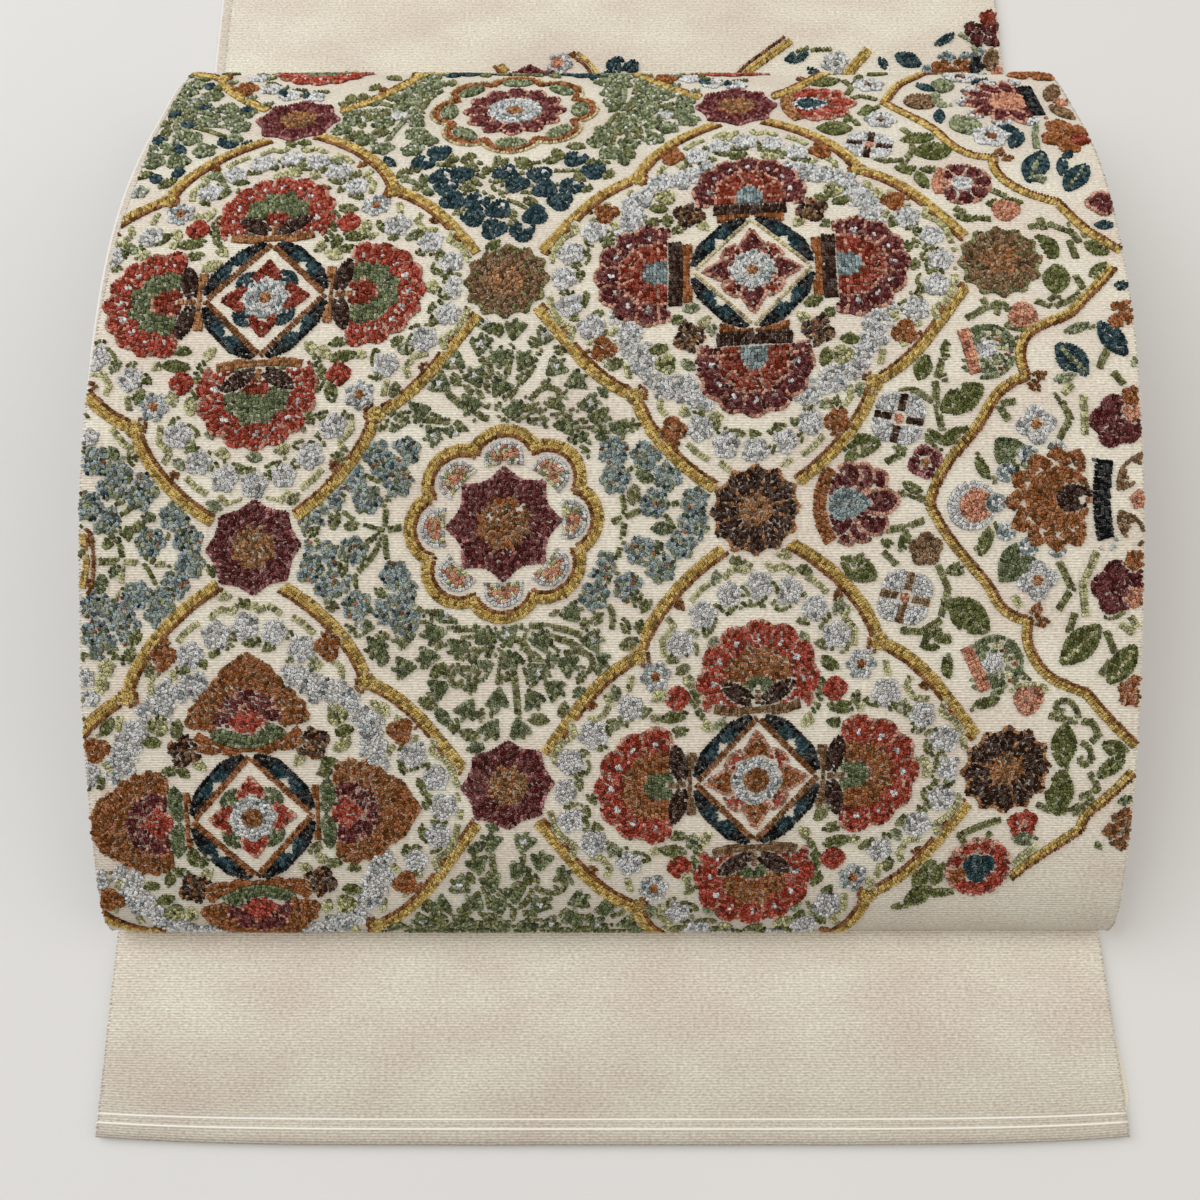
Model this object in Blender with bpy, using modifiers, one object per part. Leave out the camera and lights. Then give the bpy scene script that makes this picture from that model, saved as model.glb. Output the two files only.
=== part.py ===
"""A full-length fukuro obi, laid on a surface in the drum (taiko) fold, with its spare length
folded flat behind the drum.

The sash is one long double cloth: a face cloth and a lining, sewn together at their edges. It is
built as it runs, from the tail's tip to the hand end. The tail lies on the surface, turns back on
itself inside the drum, rises at the front, crosses over as the drum, comes down behind it, runs on
along the surface and is folded to and fro in a stack. Each stretch is a face wall and a lining
wall, 0.3 mm apart, and the stack's hidden layers are one folded solid.

Lengths are in metres. +X is across the cloth, +Y runs from the tail's tip to the back, +Z is up.
The origin is on the surface, under the middle of the whole sash.
"""

import math

import bmesh
import bpy
import numpy as np

# The cloth
OBI_WIDTH = 0.310
OBI_LENGTH = 4.35
FACE_THICKNESS = 0.0013
LINING_THICKNESS = 0.0010
SEAM_GAP = 0.0003
LAYER_GAP = 0.0004
FACE_SIDE = FACE_THICKNESS + SEAM_GAP / 2
LINING_SIDE = LINING_THICKNESS + SEAM_GAP / 2

# Places along the surface, measured back from the tail's tip
TAIL_TURN = 0.294
STACK_FRONT = 0.466
STACK_LAYERS = 9

# The tail's end draws in at both corners, where the edge seams pull it
CORNER_DRAW = 0.0023
CORNER_DRAW_REACH = 0.030
CORNER_DRAW_POWER = 5

# The face cloth's left edge is drawn in here, and the lining shows beside it
PEEP_OVER_DRUM = 0.0036
PEEP_BEHIND = 0.0042

# The drum stands a little to the right towards its back. The origin is midway between its middle
# there and the middle of the other stretches.
DRUM_DRIFT = 0.0026
DRUM_DRIFT_POWER = 3
CLOTH_MIDDLE = -DRUM_DRIFT / 2

# The folded layers part at their edges, and each edge is a little rounded
LAYER_GROOVE = 0.004
LAYER_ROUNDING = 0.0004

# The drum's outer side, from the inner stretch, round the front nose, over the top and down to the
# surface behind
DRUM_PROFILE = [
    {"back": 0.0840, "up": 0.0030},
    {"back": 0.0740, "up": 0.0030},
    {"back": 0.0662, "up": 0.0035},
    {"back": 0.0624, "up": 0.0064},
    {"back": 0.0632, "up": 0.0108},
    {"back": 0.0672, "up": 0.0158},
    {"back": 0.0742, "up": 0.0210},
    {"back": 0.0850, "up": 0.0281},
    {"back": 0.0990, "up": 0.0360},
    {"back": 0.1260, "up": 0.0490},
    {"back": 0.1540, "up": 0.0592},
    {"back": 0.1820, "up": 0.0676},
    {"back": 0.2100, "up": 0.0736},
    {"back": 0.2390, "up": 0.0757},
    {"back": 0.2660, "up": 0.0739},
    {"back": 0.2920, "up": 0.0677},
    {"back": 0.3160, "up": 0.0582},
    {"back": 0.3364, "up": 0.0482},
    {"back": 0.3505, "up": 0.0405},
    {"back": 0.3585, "up": 0.0335},
    {"back": 0.3628, "up": 0.0250},
    {"back": 0.3655, "up": 0.0165},
    {"back": 0.3690, "up": 0.0092},
    {"back": 0.3755, "up": 0.0043},
    {"back": 0.3850, "up": 0.0027},
    {"back": 0.3960, "up": 0.0026},
]
DRUM_STEPS = 52

# How finely the walls are divided
TURN_STEPS = 8
CLOTH_COLUMNS = 10
FLAT_COLUMNS = 1

FACE_COLOUR = (0.80, 0.75, 0.66, 1.0)
LINING_COLOUR = (0.76, 0.69, 0.59, 1.0)


def distance(a, b):
    """The length of the straight line between two points."""
    return math.hypot(b[0] - a[0], b[1] - a[1])


def path_length(path):
    """The length of a path along the cloth."""
    return sum(distance(a, b) for a, b in zip(path, path[1:]))


def smooth_curve(points, steps):
    """Evenly spaced points on the cubic spline through points, level at both ends."""
    places = np.array(points)
    chords = np.hypot(*np.diff(places, axis=0).T)
    along = np.concatenate([[0.0], np.cumsum(chords)])
    count = len(places)
    system = np.zeros((count, count))
    right = np.zeros((count, 2))
    system[0, 0] = system[-1, -1] = 1.0
    right[0] = (math.copysign(1.0, places[1, 0] - places[0, 0]), 0.0)
    right[-1] = (math.copysign(1.0, places[-1, 0] - places[-2, 0]), 0.0)
    for i in range(1, count - 1):
        before, after = chords[i - 1], chords[i]
        system[i, i - 1 : i + 2] = (after, 2 * (before + after), before)
        right[i] = 3 * (
            after / before * (places[i] - places[i - 1])
            + before / after * (places[i + 1] - places[i])
        )
    slopes = np.linalg.solve(system, right)

    def place_at(s):
        i = min(int(np.searchsorted(along, s, side="right")) - 1, count - 2)
        t = (s - along[i]) / chords[i]
        return (
            (2 * t**3 - 3 * t**2 + 1) * places[i]
            + (t**3 - 2 * t**2 + t) * chords[i] * slopes[i]
            + (3 * t**2 - 2 * t**3) * places[i + 1]
            + (t**3 - t**2) * chords[i] * slopes[i + 1]
        )

    return [tuple(place_at(s)) for s in np.linspace(0.0, along[-1], steps + 1)]


def normals_of(path):
    """At each point of a path, the direction to the left of travel, drawn out so that a shift keeps
    the same distance from both neighbouring runs."""
    found = []
    for i, here in enumerate(path):
        sides = []
        for a, b in ((path[max(i - 1, 0)], here), (here, path[min(i + 1, len(path) - 1)])):
            length = distance(a, b)
            if length > 0:
                sides.append((-(b[1] - a[1]) / length, (b[0] - a[0]) / length))
        across = (
            sum(side[0] for side in sides) / len(sides),
            sum(side[1] for side in sides) / len(sides),
        )
        squared = across[0] ** 2 + across[1] ** 2
        found.append((across[0] / squared, across[1] / squared))
    return found


def shifted(path, amount):
    """The path moved sideways by amount, to the left of its travel when amount is positive."""
    return [
        (y + amount * ny, z + amount * nz)
        for (y, z), (ny, nz) in zip(path, normals_of(path))
    ]


def turn(back, low, high, to_back):
    """A half turn from height low to height high. It bulges to the back or to the front."""
    middle = (low + high) / 2
    radius = (high - low) / 2
    bulge = 1 if to_back else -1
    angles = [math.pi * step / TURN_STEPS - math.pi / 2 for step in range(TURN_STEPS + 1)]
    return [
        (back + bulge * radius * math.cos(angle), middle + radius * math.sin(angle))
        for angle in angles
    ]


def stack_heights():
    """The height of the seam line of each layer in the stack. Layers lie face up and face down by
    turns, so two faces meet, and then two linings."""
    heights = [LINING_SIDE]
    for layer in range(1, STACK_LAYERS):
        side = FACE_SIDE if layer % 2 else LINING_SIDE
        heights.append(heights[-1] + 2 * side + LAYER_GAP)
    return heights


HEIGHTS = stack_heights()
TAIL_HEIGHT, INNER_HEIGHT = HEIGHTS[0], HEIGHTS[1]


def drum_path():
    """The seam line of the drum, from the inner fold to where it lies on the surface behind."""
    outside = smooth_curve([(row["back"], row["up"]) for row in DRUM_PROFILE], DRUM_STEPS)
    return shifted(outside, -FACE_SIDE)


def stack_back():
    """How far back the stack's turns lie, so that the whole seam line has the obi's length."""
    drum = drum_path()
    inner = turn(TAIL_TURN, TAIL_HEIGHT, INNER_HEIGHT, True)
    before = TAIL_TURN + path_length(inner) + (TAIL_TURN - drum[0][0]) + path_length(drum)
    turns = sum(math.pi * (b - a) / 2 for a, b in zip(HEIGHTS, HEIGHTS[1:]))
    spare = OBI_LENGTH - before - turns
    return (spare + drum[-1][0] + (STACK_LAYERS - 1) * STACK_FRONT) / STACK_LAYERS


STACK_BACK = stack_back()
TOTAL_DEPTH = STACK_BACK + (HEIGHTS[1] - HEIGHTS[0]) / 2 + LINING_SIDE


def tail_path():
    """The tail, from its tip to where it turns back inside the drum."""
    return [(0.0, TAIL_HEIGHT), (CORNER_DRAW_REACH, TAIL_HEIGHT), (TAIL_TURN, TAIL_HEIGHT)]


def inner_path(drum):
    """The turn inside the drum and the stretch that comes forward over the tail."""
    start = (drum[0][0], INNER_HEIGHT)
    return turn(TAIL_TURN, TAIL_HEIGHT, INNER_HEIGHT, True) + [start]


def behind_path(drum):
    """The stretch behind the drum, under the stack, and its turn up at the back."""
    return [drum[-1], (STACK_FRONT, HEIGHTS[0])] + turn(
        STACK_BACK, HEIGHTS[0], HEIGHTS[1], True
    )


def hand_end_path():
    """The stack's top layer, from its turn at the front to the hand end's edge at the back."""
    return turn(STACK_FRONT, HEIGHTS[-2], HEIGHTS[-1], False) + [
        (STACK_BACK - CORNER_DRAW_REACH, HEIGHTS[-1]),
        (STACK_BACK, HEIGHTS[-1]),
    ]


def trimmed(path, at_start=False, at_end=False):
    """The path with its ends drawn in by half a seam gap, where the next stretch meets it."""
    path = list(path)
    if at_start:
        share = SEAM_GAP / 2 / distance(path[0], path[1])
        path[0] = tuple(a + share * (b - a) for a, b in zip(path[0], path[1]))
    if at_end:
        share = SEAM_GAP / 2 / distance(path[-1], path[-2])
        path[-1] = tuple(a + share * (b - a) for a, b in zip(path[-1], path[-2]))
    return path


def straight(share):
    """Nothing is drawn in or shifted."""
    return 0.0


def ease(share, start, end):
    """A smooth step from 0 to 1 as share goes from start to end."""
    t = min(1.0, max(0.0, (share - start) / (end - start)))
    return t * t * (3 - 2 * t)


def drum_peep(share):
    """How far the face cloth's left edge is drawn in over the drum: from nothing at the front to
    all of it over the top and behind."""
    over_top = PEEP_OVER_DRUM * ease(share, 0.35, 0.70)
    return over_top + (PEEP_BEHIND - PEEP_OVER_DRUM) * ease(share, 0.8, 1.0)


def behind_peep(share):
    """The face cloth's left edge is drawn in evenly all along the stretch behind the drum."""
    return PEEP_BEHIND


def drum_drift(share):
    """How far the drum's middle stands to the right, most near its back."""
    return DRUM_DRIFT * math.sin(math.pi * share**DRUM_DRIFT_POWER) ** 2


def corner_draw(x, from_tip):
    """How far the end of the cloth is drawn in at a point x across, near the tip."""
    across = abs(2 * x / OBI_WIDTH) ** CORNER_DRAW_POWER
    fade = max(0.0, 1 - from_tip / CORNER_DRAW_REACH)
    return CORNER_DRAW * across * fade


def cloth_object(name, mesh, material, collection):
    """An object for one piece, in its collection."""
    mesh.materials.append(material)
    mesh.shade_smooth()
    piece = bpy.data.objects.new(name, mesh)
    collection.objects.link(piece)
    return piece


def cloth_wall(name, path, side, columns, material, collection, peep=straight, drift=straight, tip=None):
    """One wall of cloth: a flat grid, bent on the path shifted to its outer side, and thickened
    inwards up to the seam gap.

    side is where the outer side lies from the seam line: positive for the face, on the left of
    travel, and negative for the lining. peep draws in the left edge and drift shifts the cloth to
    the right, each at a share of the path. tip is the Y of a cloth end with drawn-in corners.
    """
    outer = shifted(path, side)
    rows = len(outer) - 1
    bm = bmesh.new()
    bmesh.ops.create_grid(bm, x_segments=columns, y_segments=rows, size=1.0)
    for vertex in bm.verts:
        row = round((vertex.co.y + 1) / 2 * rows)
        across = (vertex.co.x + 1) / 2
        left = -OBI_WIDTH / 2 + peep(row / rows)
        x = left + across * (OBI_WIDTH / 2 - left)
        y, z = outer[row]
        if tip is not None:
            y += math.copysign(corner_draw(x, abs(y - tip)), TOTAL_DEPTH / 2 - tip)
        vertex.co = (CLOTH_MIDDLE + x + drift(row / rows), y - TOTAL_DEPTH / 2, z)
    if side < 0:
        bmesh.ops.reverse_faces(bm, faces=bm.faces)
    mesh = bpy.data.meshes.new(name)
    bm.to_mesh(mesh)
    bm.free()
    wall = cloth_object(name, mesh, material, collection)
    solid = wall.modifiers.new("thickness", "SOLIDIFY")
    solid.thickness = abs(side) - SEAM_GAP / 2
    solid.offset = -1.0
    solid.use_even_offset = True
    return wall


def double_cloth(name, path, columns, materials, collection, peep=straight, drift=straight, tip=None):
    """The face wall and the lining wall of one stretch."""
    face, lining = materials
    cloth_wall(f"{name}_face", path, FACE_SIDE, columns, face, collection, peep, drift, tip)
    cloth_wall(f"{name}_lining", path, -LINING_SIDE, columns, lining, collection, straight, drift, tip)


def fold_reach(lower, to_back, z):
    """How far the fold from layer lower to the next one bulges past the stack's end at height z."""
    middle = (HEIGHTS[lower] + HEIGHTS[lower + 1]) / 2
    outer_side = LINING_SIDE if to_back else FACE_SIDE
    radius = (HEIGHTS[lower + 1] - HEIGHTS[lower]) / 2 + outer_side
    return math.sqrt(max(0.0, radius**2 - (z - middle) ** 2))


def folded_levels():
    """The outline of the hidden layers at each height: half width, front, back and height. A layer
    is folded into the next at the front after an odd layer and at the back after an even one."""
    first, last = 1, STACK_LAYERS - 2
    levels = []
    for layer in range(first, last + 1):
        face_up = layer % 2 == 0
        bottom = HEIGHTS[layer] - (LINING_SIDE if face_up else FACE_SIDE)
        top = HEIGHTS[layer] + (FACE_SIDE if face_up else LINING_SIDE)
        front_fold = layer - 1 if face_up else layer
        back_fold = layer if face_up else layer - 1
        heights = [(bottom, LAYER_ROUNDING), ((bottom + top) / 2, 0.0), (top, LAYER_ROUNDING)]
        if layer < last:
            heights.append((top + LAYER_GAP / 2, LAYER_GROOVE))
        for z, inset in heights:
            in_groove = inset == LAYER_GROOVE
            front = STACK_FRONT - fold_reach(front_fold, False, z)
            back = STACK_BACK + fold_reach(back_fold, True, z)
            if layer == last:
                front = STACK_FRONT + SEAM_GAP / 2
            elif in_groove and face_up:
                front = STACK_FRONT + LAYER_GROOVE
            if layer == first and z <= top:
                back = STACK_BACK - SEAM_GAP / 2
            elif in_groove and not face_up:
                back = STACK_BACK - LAYER_GROOVE
            levels.append((OBI_WIDTH / 2 - inset, front, back, z))
    return levels


def folded_solid(name, material, collection):
    """The stack's hidden layers as one solid: a cube cut into levels, each set to its outline. A
    groove runs all round between two layers, except where they are folded into each other."""
    levels = folded_levels()
    bm = bmesh.new()
    bmesh.ops.create_cube(bm, size=2.0)
    uprights = [edge for edge in bm.edges if edge.verts[0].co.z != edge.verts[1].co.z]
    bmesh.ops.subdivide_edges(bm, edges=uprights, cuts=len(levels) - 2, use_grid_fill=True)
    for vertex in bm.verts:
        number = round((vertex.co.z + 1) / 2 * (len(levels) - 1))
        half_width, front, back, z = levels[number]
        x = CLOTH_MIDDLE + math.copysign(half_width, vertex.co.x)
        y = back if vertex.co.y > 0 else front
        vertex.co = (x, y - TOTAL_DEPTH / 2, z)
    mesh = bpy.data.meshes.new(name)
    bm.to_mesh(mesh)
    bm.free()
    return cloth_object(name, mesh, material, collection)


def cloth_material(name, colour, roughness):
    """A plain cloth finish."""
    material = bpy.data.materials.new(name)
    material.use_nodes = True
    shader = material.node_tree.nodes["Principled BSDF"]
    shader.inputs["Base Color"].default_value = colour
    shader.inputs["Roughness"].default_value = roughness
    shader.inputs["Metallic"].default_value = 0.0
    material.diffuse_color = colour
    return material


def clear_scene():
    """Remove whatever the file opened with."""
    for thing in list(bpy.data.objects):
        bpy.data.objects.remove(thing, do_unlink=True)


def main():
    """Build the whole sash, stretch by stretch."""
    clear_scene()
    collection = bpy.data.collections.new("obi_sash")
    bpy.context.scene.collection.children.link(collection)
    face = cloth_material("face_cloth", FACE_COLOUR, 0.62)
    lining = cloth_material("lining_cloth", LINING_COLOUR, 0.70)
    both = (face, lining)
    drum = drum_path()
    tail = trimmed(tail_path(), at_end=True)
    double_cloth("tail", tail, CLOTH_COLUMNS, both, collection, tip=0.0)
    inner = trimmed(inner_path(drum), at_start=True, at_end=True)
    double_cloth("inner", inner, FLAT_COLUMNS, both, collection)
    arch = trimmed(drum, at_start=True, at_end=True)
    double_cloth("drum", arch, CLOTH_COLUMNS, both, collection, drum_peep, drum_drift)
    behind = trimmed(behind_path(drum), at_start=True, at_end=True)
    double_cloth("behind", behind, FLAT_COLUMNS, both, collection, behind_peep)
    hand_end = trimmed(hand_end_path(), at_start=True)
    double_cloth("hand_end", hand_end, CLOTH_COLUMNS, both, collection, tip=STACK_BACK)
    folded_solid("folded_layers", lining, collection)


main()
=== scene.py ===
"""Looks of a fukuro obi that lies on a table, folded into its drum.

The cloth is two long thin sheets, a face and a lining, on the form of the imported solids. The face
carries a knot-stitched pattern: a lattice of gold bands with rosettes where they cross, medallions
between them, and a scalloped frame along the right edge. Every knot is a small raised loop of
thread, placed on the curved cloth by a Geometry Nodes tree, one tree for each thread colour.

Pattern places are in millimetres on the flat cloth: x across from its middle, s along it from the
front of the drum's nose, over the top and down behind. Everything else is in metres, in the frame.
"""

from __future__ import annotations

import logging
import math
from collections.abc import Callable, Sequence
from dataclasses import dataclass, field
from enum import Enum
from functools import cache, cached_property, partial
from typing import Any

import bmesh
import bpy
import numpy as np
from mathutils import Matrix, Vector


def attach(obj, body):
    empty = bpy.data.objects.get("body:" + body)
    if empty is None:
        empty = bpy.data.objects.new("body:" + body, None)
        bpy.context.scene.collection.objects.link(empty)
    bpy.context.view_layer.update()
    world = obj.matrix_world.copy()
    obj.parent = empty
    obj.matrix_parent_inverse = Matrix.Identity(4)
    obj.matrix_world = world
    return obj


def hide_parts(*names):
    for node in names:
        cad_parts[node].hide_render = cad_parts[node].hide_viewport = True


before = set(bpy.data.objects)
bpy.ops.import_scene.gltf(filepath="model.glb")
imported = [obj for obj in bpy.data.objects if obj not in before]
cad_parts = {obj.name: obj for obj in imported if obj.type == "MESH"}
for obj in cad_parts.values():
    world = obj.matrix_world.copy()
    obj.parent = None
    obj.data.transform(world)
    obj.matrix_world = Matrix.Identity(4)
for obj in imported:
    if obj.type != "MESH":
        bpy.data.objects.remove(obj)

LOG = logging.getLogger("obi")
MM = 0.001

Array = np.ndarray
Point = tuple[float, float]


# ---------------------------------------------------------------------------------------------
# Threads


class Thread(Enum):
    """The thread colours of the embroidery."""

    GOLD = "gold"
    BROWN = "gold_brown"
    RED = "red"
    MAROON = "maroon"
    RUST = "rust"
    DARK_BROWN = "dark_brown"
    TAN = "tan"
    TAUPE = "taupe"
    GREEN = "green"
    LEAF = "leaf_green"
    OLIVE = "olive"
    SAGE = "sage"
    CELERY = "celery"
    BLUE = "blue_grey"
    TEAL = "teal"
    NAVY = "navy"
    LILAC = "lilac_white"
    SALMON = "salmon"
    PINK = "pale_pink"
    MAUVE = "mauve"
    VERMILION = "vermilion"
    PALE_GOLD = "pale_gold"


(GOLD, BROWN, RED, MAROON, RUST, DARK_BROWN, TAN, TAUPE, GREEN, LEAF, OLIVE, SAGE, CELERY, BLUE, TEAL,
 NAVY, LILAC, SALMON, PINK, MAUVE, VERMILION, PALE_GOLD) = THREADS = list(Thread)


@dataclass(frozen=True)
class ThreadFinish:
    """How one thread colour looks.

    Args:
        colour: Linear colour of the crest of a knot.
        depth: How dark the painted shade in a knot's hollow and at its foot is, as a share of the crest.
        gloss: Roughness of the silk.
        glint: How much white is painted onto the crests as a highlight.
    """

    colour: tuple[float, float, float]
    depth: float = 0.10
    gloss: float = 0.36
    glint: float = 0.16


def srgb(red: int, green: int, blue: int) -> tuple[float, float, float]:
    """The linear colour of an 8-bit one."""

    def linear(value: float) -> float:
        return value / 12.92 if value <= 0.04045 else ((value + 0.055) / 1.055) ** 2.4

    return linear(red / 255), linear(green / 255), linear(blue / 255)


# Each thread's second value, its depth, sets the painted shade in the hollows of its knots.
FINISHES: dict[Thread, ThreadFinish] = {
    GOLD: ThreadFinish(srgb(224, 184, 100)),
    BROWN: ThreadFinish(srgb(150, 92, 36)),
    RED: ThreadFinish(srgb(182, 68, 40)),
    MAROON: ThreadFinish(srgb(114, 40, 38)),
    RUST: ThreadFinish(srgb(168, 100, 42)),
    DARK_BROWN: ThreadFinish(srgb(66, 32, 8)),
    TAN: ThreadFinish(srgb(182, 124, 72)),
    TAUPE: ThreadFinish(srgb(143, 108, 70)),
    GREEN: ThreadFinish(srgb(113, 124, 80)),
    LEAF: ThreadFinish(srgb(116, 121, 60)),
    OLIVE: ThreadFinish(srgb(134, 134, 82)),
    SAGE: ThreadFinish(srgb(156, 163, 124)),
    CELERY: ThreadFinish(srgb(210, 205, 150)),
    BLUE: ThreadFinish(srgb(156, 173, 174)),
    TEAL: ThreadFinish(srgb(36, 72, 80)),
    NAVY: ThreadFinish(srgb(5, 10, 13)),
    LILAC: ThreadFinish(srgb(242, 242, 241), 0.12),
    SALMON: ThreadFinish(srgb(232, 156, 123)),
    PINK: ThreadFinish(srgb(216, 156, 132), 0.2),
    MAUVE: ThreadFinish(srgb(186, 122, 122)),
    VERMILION: ThreadFinish(srgb(154, 52, 16)),
    PALE_GOLD: ThreadFinish(srgb(230, 208, 156), 0.2),
}


# ---------------------------------------------------------------------------------------------
# Outlines. Each gives how deep a point lies inside it, in millimetres, and is negative outside.

Outline = Callable[[Array, Array], Array]
Flecks = Sequence[tuple[Thread, float]]
Shade = Callable[[Array, Array, Array], Array]


@cache
def disc(radius: float) -> Outline:
    """A round outline about the origin."""
    return lambda u, v: radius - np.hypot(u, v)


@cache
def oval(half_u: float, half_v: float) -> Outline:
    """An ellipse about the origin."""
    return lambda u, v: (1 - np.hypot(u / half_u, v / half_v)) * min(half_u, half_v)


def tapered(length: float, half: Callable[[Array], Array]) -> Outline:
    """An outline from the origin along u, from the rule of its half width at each share of its length."""

    def depth(u: Array, v: Array) -> Array:
        past = np.maximum(u - length, -u)
        return np.where(past > 0, -np.hypot(past, v), half(np.clip(u / length, 0.0, 1.0)) - np.abs(v))

    return depth


@cache
def leaf(length: float, width: float, fullness: float = 0.8) -> Outline:
    """A leaf pointed at both ends, from the origin along u."""
    return tapered(length, lambda t: width / 2 * np.sin(math.pi * t) ** fullness)


@cache
def petal(length: float, width: float) -> Outline:
    """A petal, narrow at the origin and round at its far end along u."""
    return tapered(length, lambda t: width / 2 * np.sin(math.pi * t**1.7) ** 0.55)


@cache
def tipped(length: float, width: float) -> Outline:
    """A petal with a short tip, narrow at the origin, along u."""
    return tapered(length, lambda t: width / 2 * np.minimum(
        np.sin(math.pi * t**1.2) ** 0.7, 2.1 * (1 - t) ** 0.8))


@cache
def petal_drop(length: float, width: float) -> Outline:
    """A drop with its round end at the origin and its tip along u."""
    return tapered(length, lambda t: width / 2 * np.sin(math.pi * t**0.6) ** 0.8)


@cache
def flower(radius: float, petals: int, notch: float = 0.16, start: float = 0.0) -> Outline:
    """A round flower with a lobed edge."""

    def depth(u: Array, v: Array) -> Array:
        angle = np.arctan2(v, u) - start
        reach = radius * (1 - notch + notch * np.abs(np.cos(petals * angle / 2)))
        return reach - np.hypot(u, v)

    return depth


@cache
def petal_kite(length: float, width: float) -> Outline:
    """A kite from the origin along u, widest a third of the way out."""

    def depth(u: Array, v: Array) -> Array:
        t = u / length
        half = width / 2 * np.minimum(1.35 * t + 0.55, 1.45 * (1 - t))
        return np.where((t < 0) | (t > 1), -1.0, half - np.abs(v))

    return depth


def body(along: Sequence[float], wide: Sequence[float], ripple: float = 0.0) -> Outline:
    """The body of a palmette, from its half width along u."""

    def depth(u: Array, v: Array) -> Array:
        step = (u / 3.7) % 1.0
        half = np.interp(u, along, wide) + ripple * (1 - 2 * step) * (u < along[-1] - 2)
        past = np.maximum(along[0] - u, u - along[-1])
        return np.where(past > 0, -np.hypot(past, v), half - np.abs(v))

    return depth


POINTED_BODY = body((22.6, 27.8, 28.3, 30.5, 33.5, 36.0, 38.5, 41.5, 44.5, 47.5, 50.4),
                    (10.0, 11.4, 17.2, 18.2, 17.6, 15.4, 13.2, 10.6, 8.2, 5.2, 0.0), 0.95)
FAN_BODY = body((24.4, 26.0, 29.0, 33.0, 37.0, 41.0, 45.0, 48.0, 50.2),
                (14.6, 15.8, 16.2, 15.8, 14.2, 11.8, 8.6, 4.8, 0.0), 1.15)


@cache
def lobed_fan(length: float, opening: float) -> Outline:
    """A leaf that opens from its foot into three lobes.

    Args:
        length: From foot to tip.
        opening: Half the angle it opens.

    Returns:
        The outline, with the leaf's middle at the origin.
    """

    def depth(u: Array, v: Array) -> Array:
        far, turn = np.hypot(u + length / 2, v), np.arctan2(v, u + length / 2)
        rim = length * (0.9 + 0.1 * np.cos(math.tau * turn / (0.75 * opening)))
        return np.minimum(rim - far, far * np.sin(opening - np.abs(turn)))

    return depth


@cache
def cup(base: float, rise: float, half: float, thick: float) -> Outline:
    """A bowl with a notch in the middle of its brim, open towards u."""

    def depth(u: Array, v: Array) -> Array:
        out = np.abs(v)
        low = base + rise * (out / half) ** 2
        deep = thick * (1 + 0.55 * np.minimum(out / (half * 0.55), 1.0)) + 0.4 * np.cos(out * 2.6)
        deep = deep * np.clip((half - out) / (half * 0.45), 0.0, 1.0)
        return np.minimum(np.minimum(u - low, low + deep - u), half - out)

    return depth


@cache
def star(radius: float, count: int, notch: float) -> Outline:
    """A round flower with pointed petals, one of them along u."""

    def depth(u: Array, v: Array) -> Array:
        angle = np.arctan2(v, u)
        return radius * (1 - notch * np.abs(np.sin(count * angle / 2)) ** 0.9) - np.hypot(u, v)

    return depth


@cache
def oblong(wide: float, tall: float) -> Outline:
    """A slightly eight-sided round, wider one way than the other."""

    def depth(u: Array, v: Array) -> Array:
        p, q = np.abs(u) * tall / wide, np.abs(v)
        far = np.maximum(np.maximum(p, q) * 0.93 + 0.35 * np.minimum(p, q), (p + q) * 0.728)
        return tall - np.maximum(far, np.hypot(p, q) * 0.985)

    return depth


@cache
def fan(reach: float, count: int, foot: float, notch: float = 0.09) -> Outline:
    """A fan of petals round the origin, cut straight at its foot."""
    round_edge = flower(reach, count, notch)
    return lambda u, v: np.minimum(round_edge(u, v), u + foot)


def between_cells(hollow: float) -> Outline:
    """The diamond between four cells of the lattice, without a round middle."""
    return lambda u, v: np.minimum((1 - np.abs(u) / 74 - np.abs(v) / 79) * 54, np.hypot(u, v) - hollow)


def lobes(radius: float, count: int = 8, notch: float = 0.155) -> list[Point]:
    """Points round a ring of lobes about the origin, clockwise."""
    found = []
    for step in range(count * 16):
        angle = -math.tau * step / (count * 16)
        reach = radius * (1 - notch + notch * abs(math.cos(count * angle / 2)) ** 0.7)
        found.append((reach * math.cos(angle), reach * math.sin(angle)))
    return found


@cache
def half_round(half: float) -> Outline:
    """A half disc that bulges along u, on a short straight foot."""
    return lambda u, v: np.minimum(half - np.hypot(np.maximum(u + 0.6, 0) * 1.15, v), u + 3.9)


def distance_to(points: Sequence[Point], u: Array, v: Array) -> Array:
    """The distance to a line through points."""
    found = np.full(u.shape, np.inf)
    for (u0, v0), (u1, v1) in zip(points, points[1:]):
        du, dv = u1 - u0, v1 - v0
        if du == dv == 0:
            continue
        t = np.clip(((u - u0) * du + (v - v0) * dv) / (du * du + dv * dv), 0.0, 1.0)
        found = np.minimum(found, np.hypot(u - u0 - t * du, v - v0 - t * dv))
    return found


def stroke(points: Sequence[Point], width: float) -> Outline:
    """A stroke of a width along points."""
    return lambda u, v: width / 2 - distance_to(points, u, v)


def bend(start: Point, pull: Point, end: Point, steps: int = 7) -> list[Point]:
    """Points on the curve from start to end that is pulled towards pull."""
    found = []
    for step in range(steps + 1):
        t = step / steps
        a, b, c = (1 - t) ** 2, 2 * t * (1 - t), t**2
        found.append(tuple(a * p + b * q + c * r for p, q, r in zip(start, pull, end)))
    return found


def curl(start: Point, turn: float, size: float, heading: float, steps: int = 12) -> list[Point]:
    """Points on a tendril that winds in on itself: turn is in radians, and left is positive."""
    u, v = start
    found = [start]
    length = size * 2.6 / steps
    for step in range(steps):
        heading += turn * (0.4 + 1.6 * step / steps) / steps
        pace = length * (1.25 - step / steps)
        u, v = u + pace * math.cos(heading), v + pace * math.sin(heading)
        found.append((u, v))
    return found


# ---------------------------------------------------------------------------------------------
# The ground that knots are worked on, and rows of knots


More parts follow.
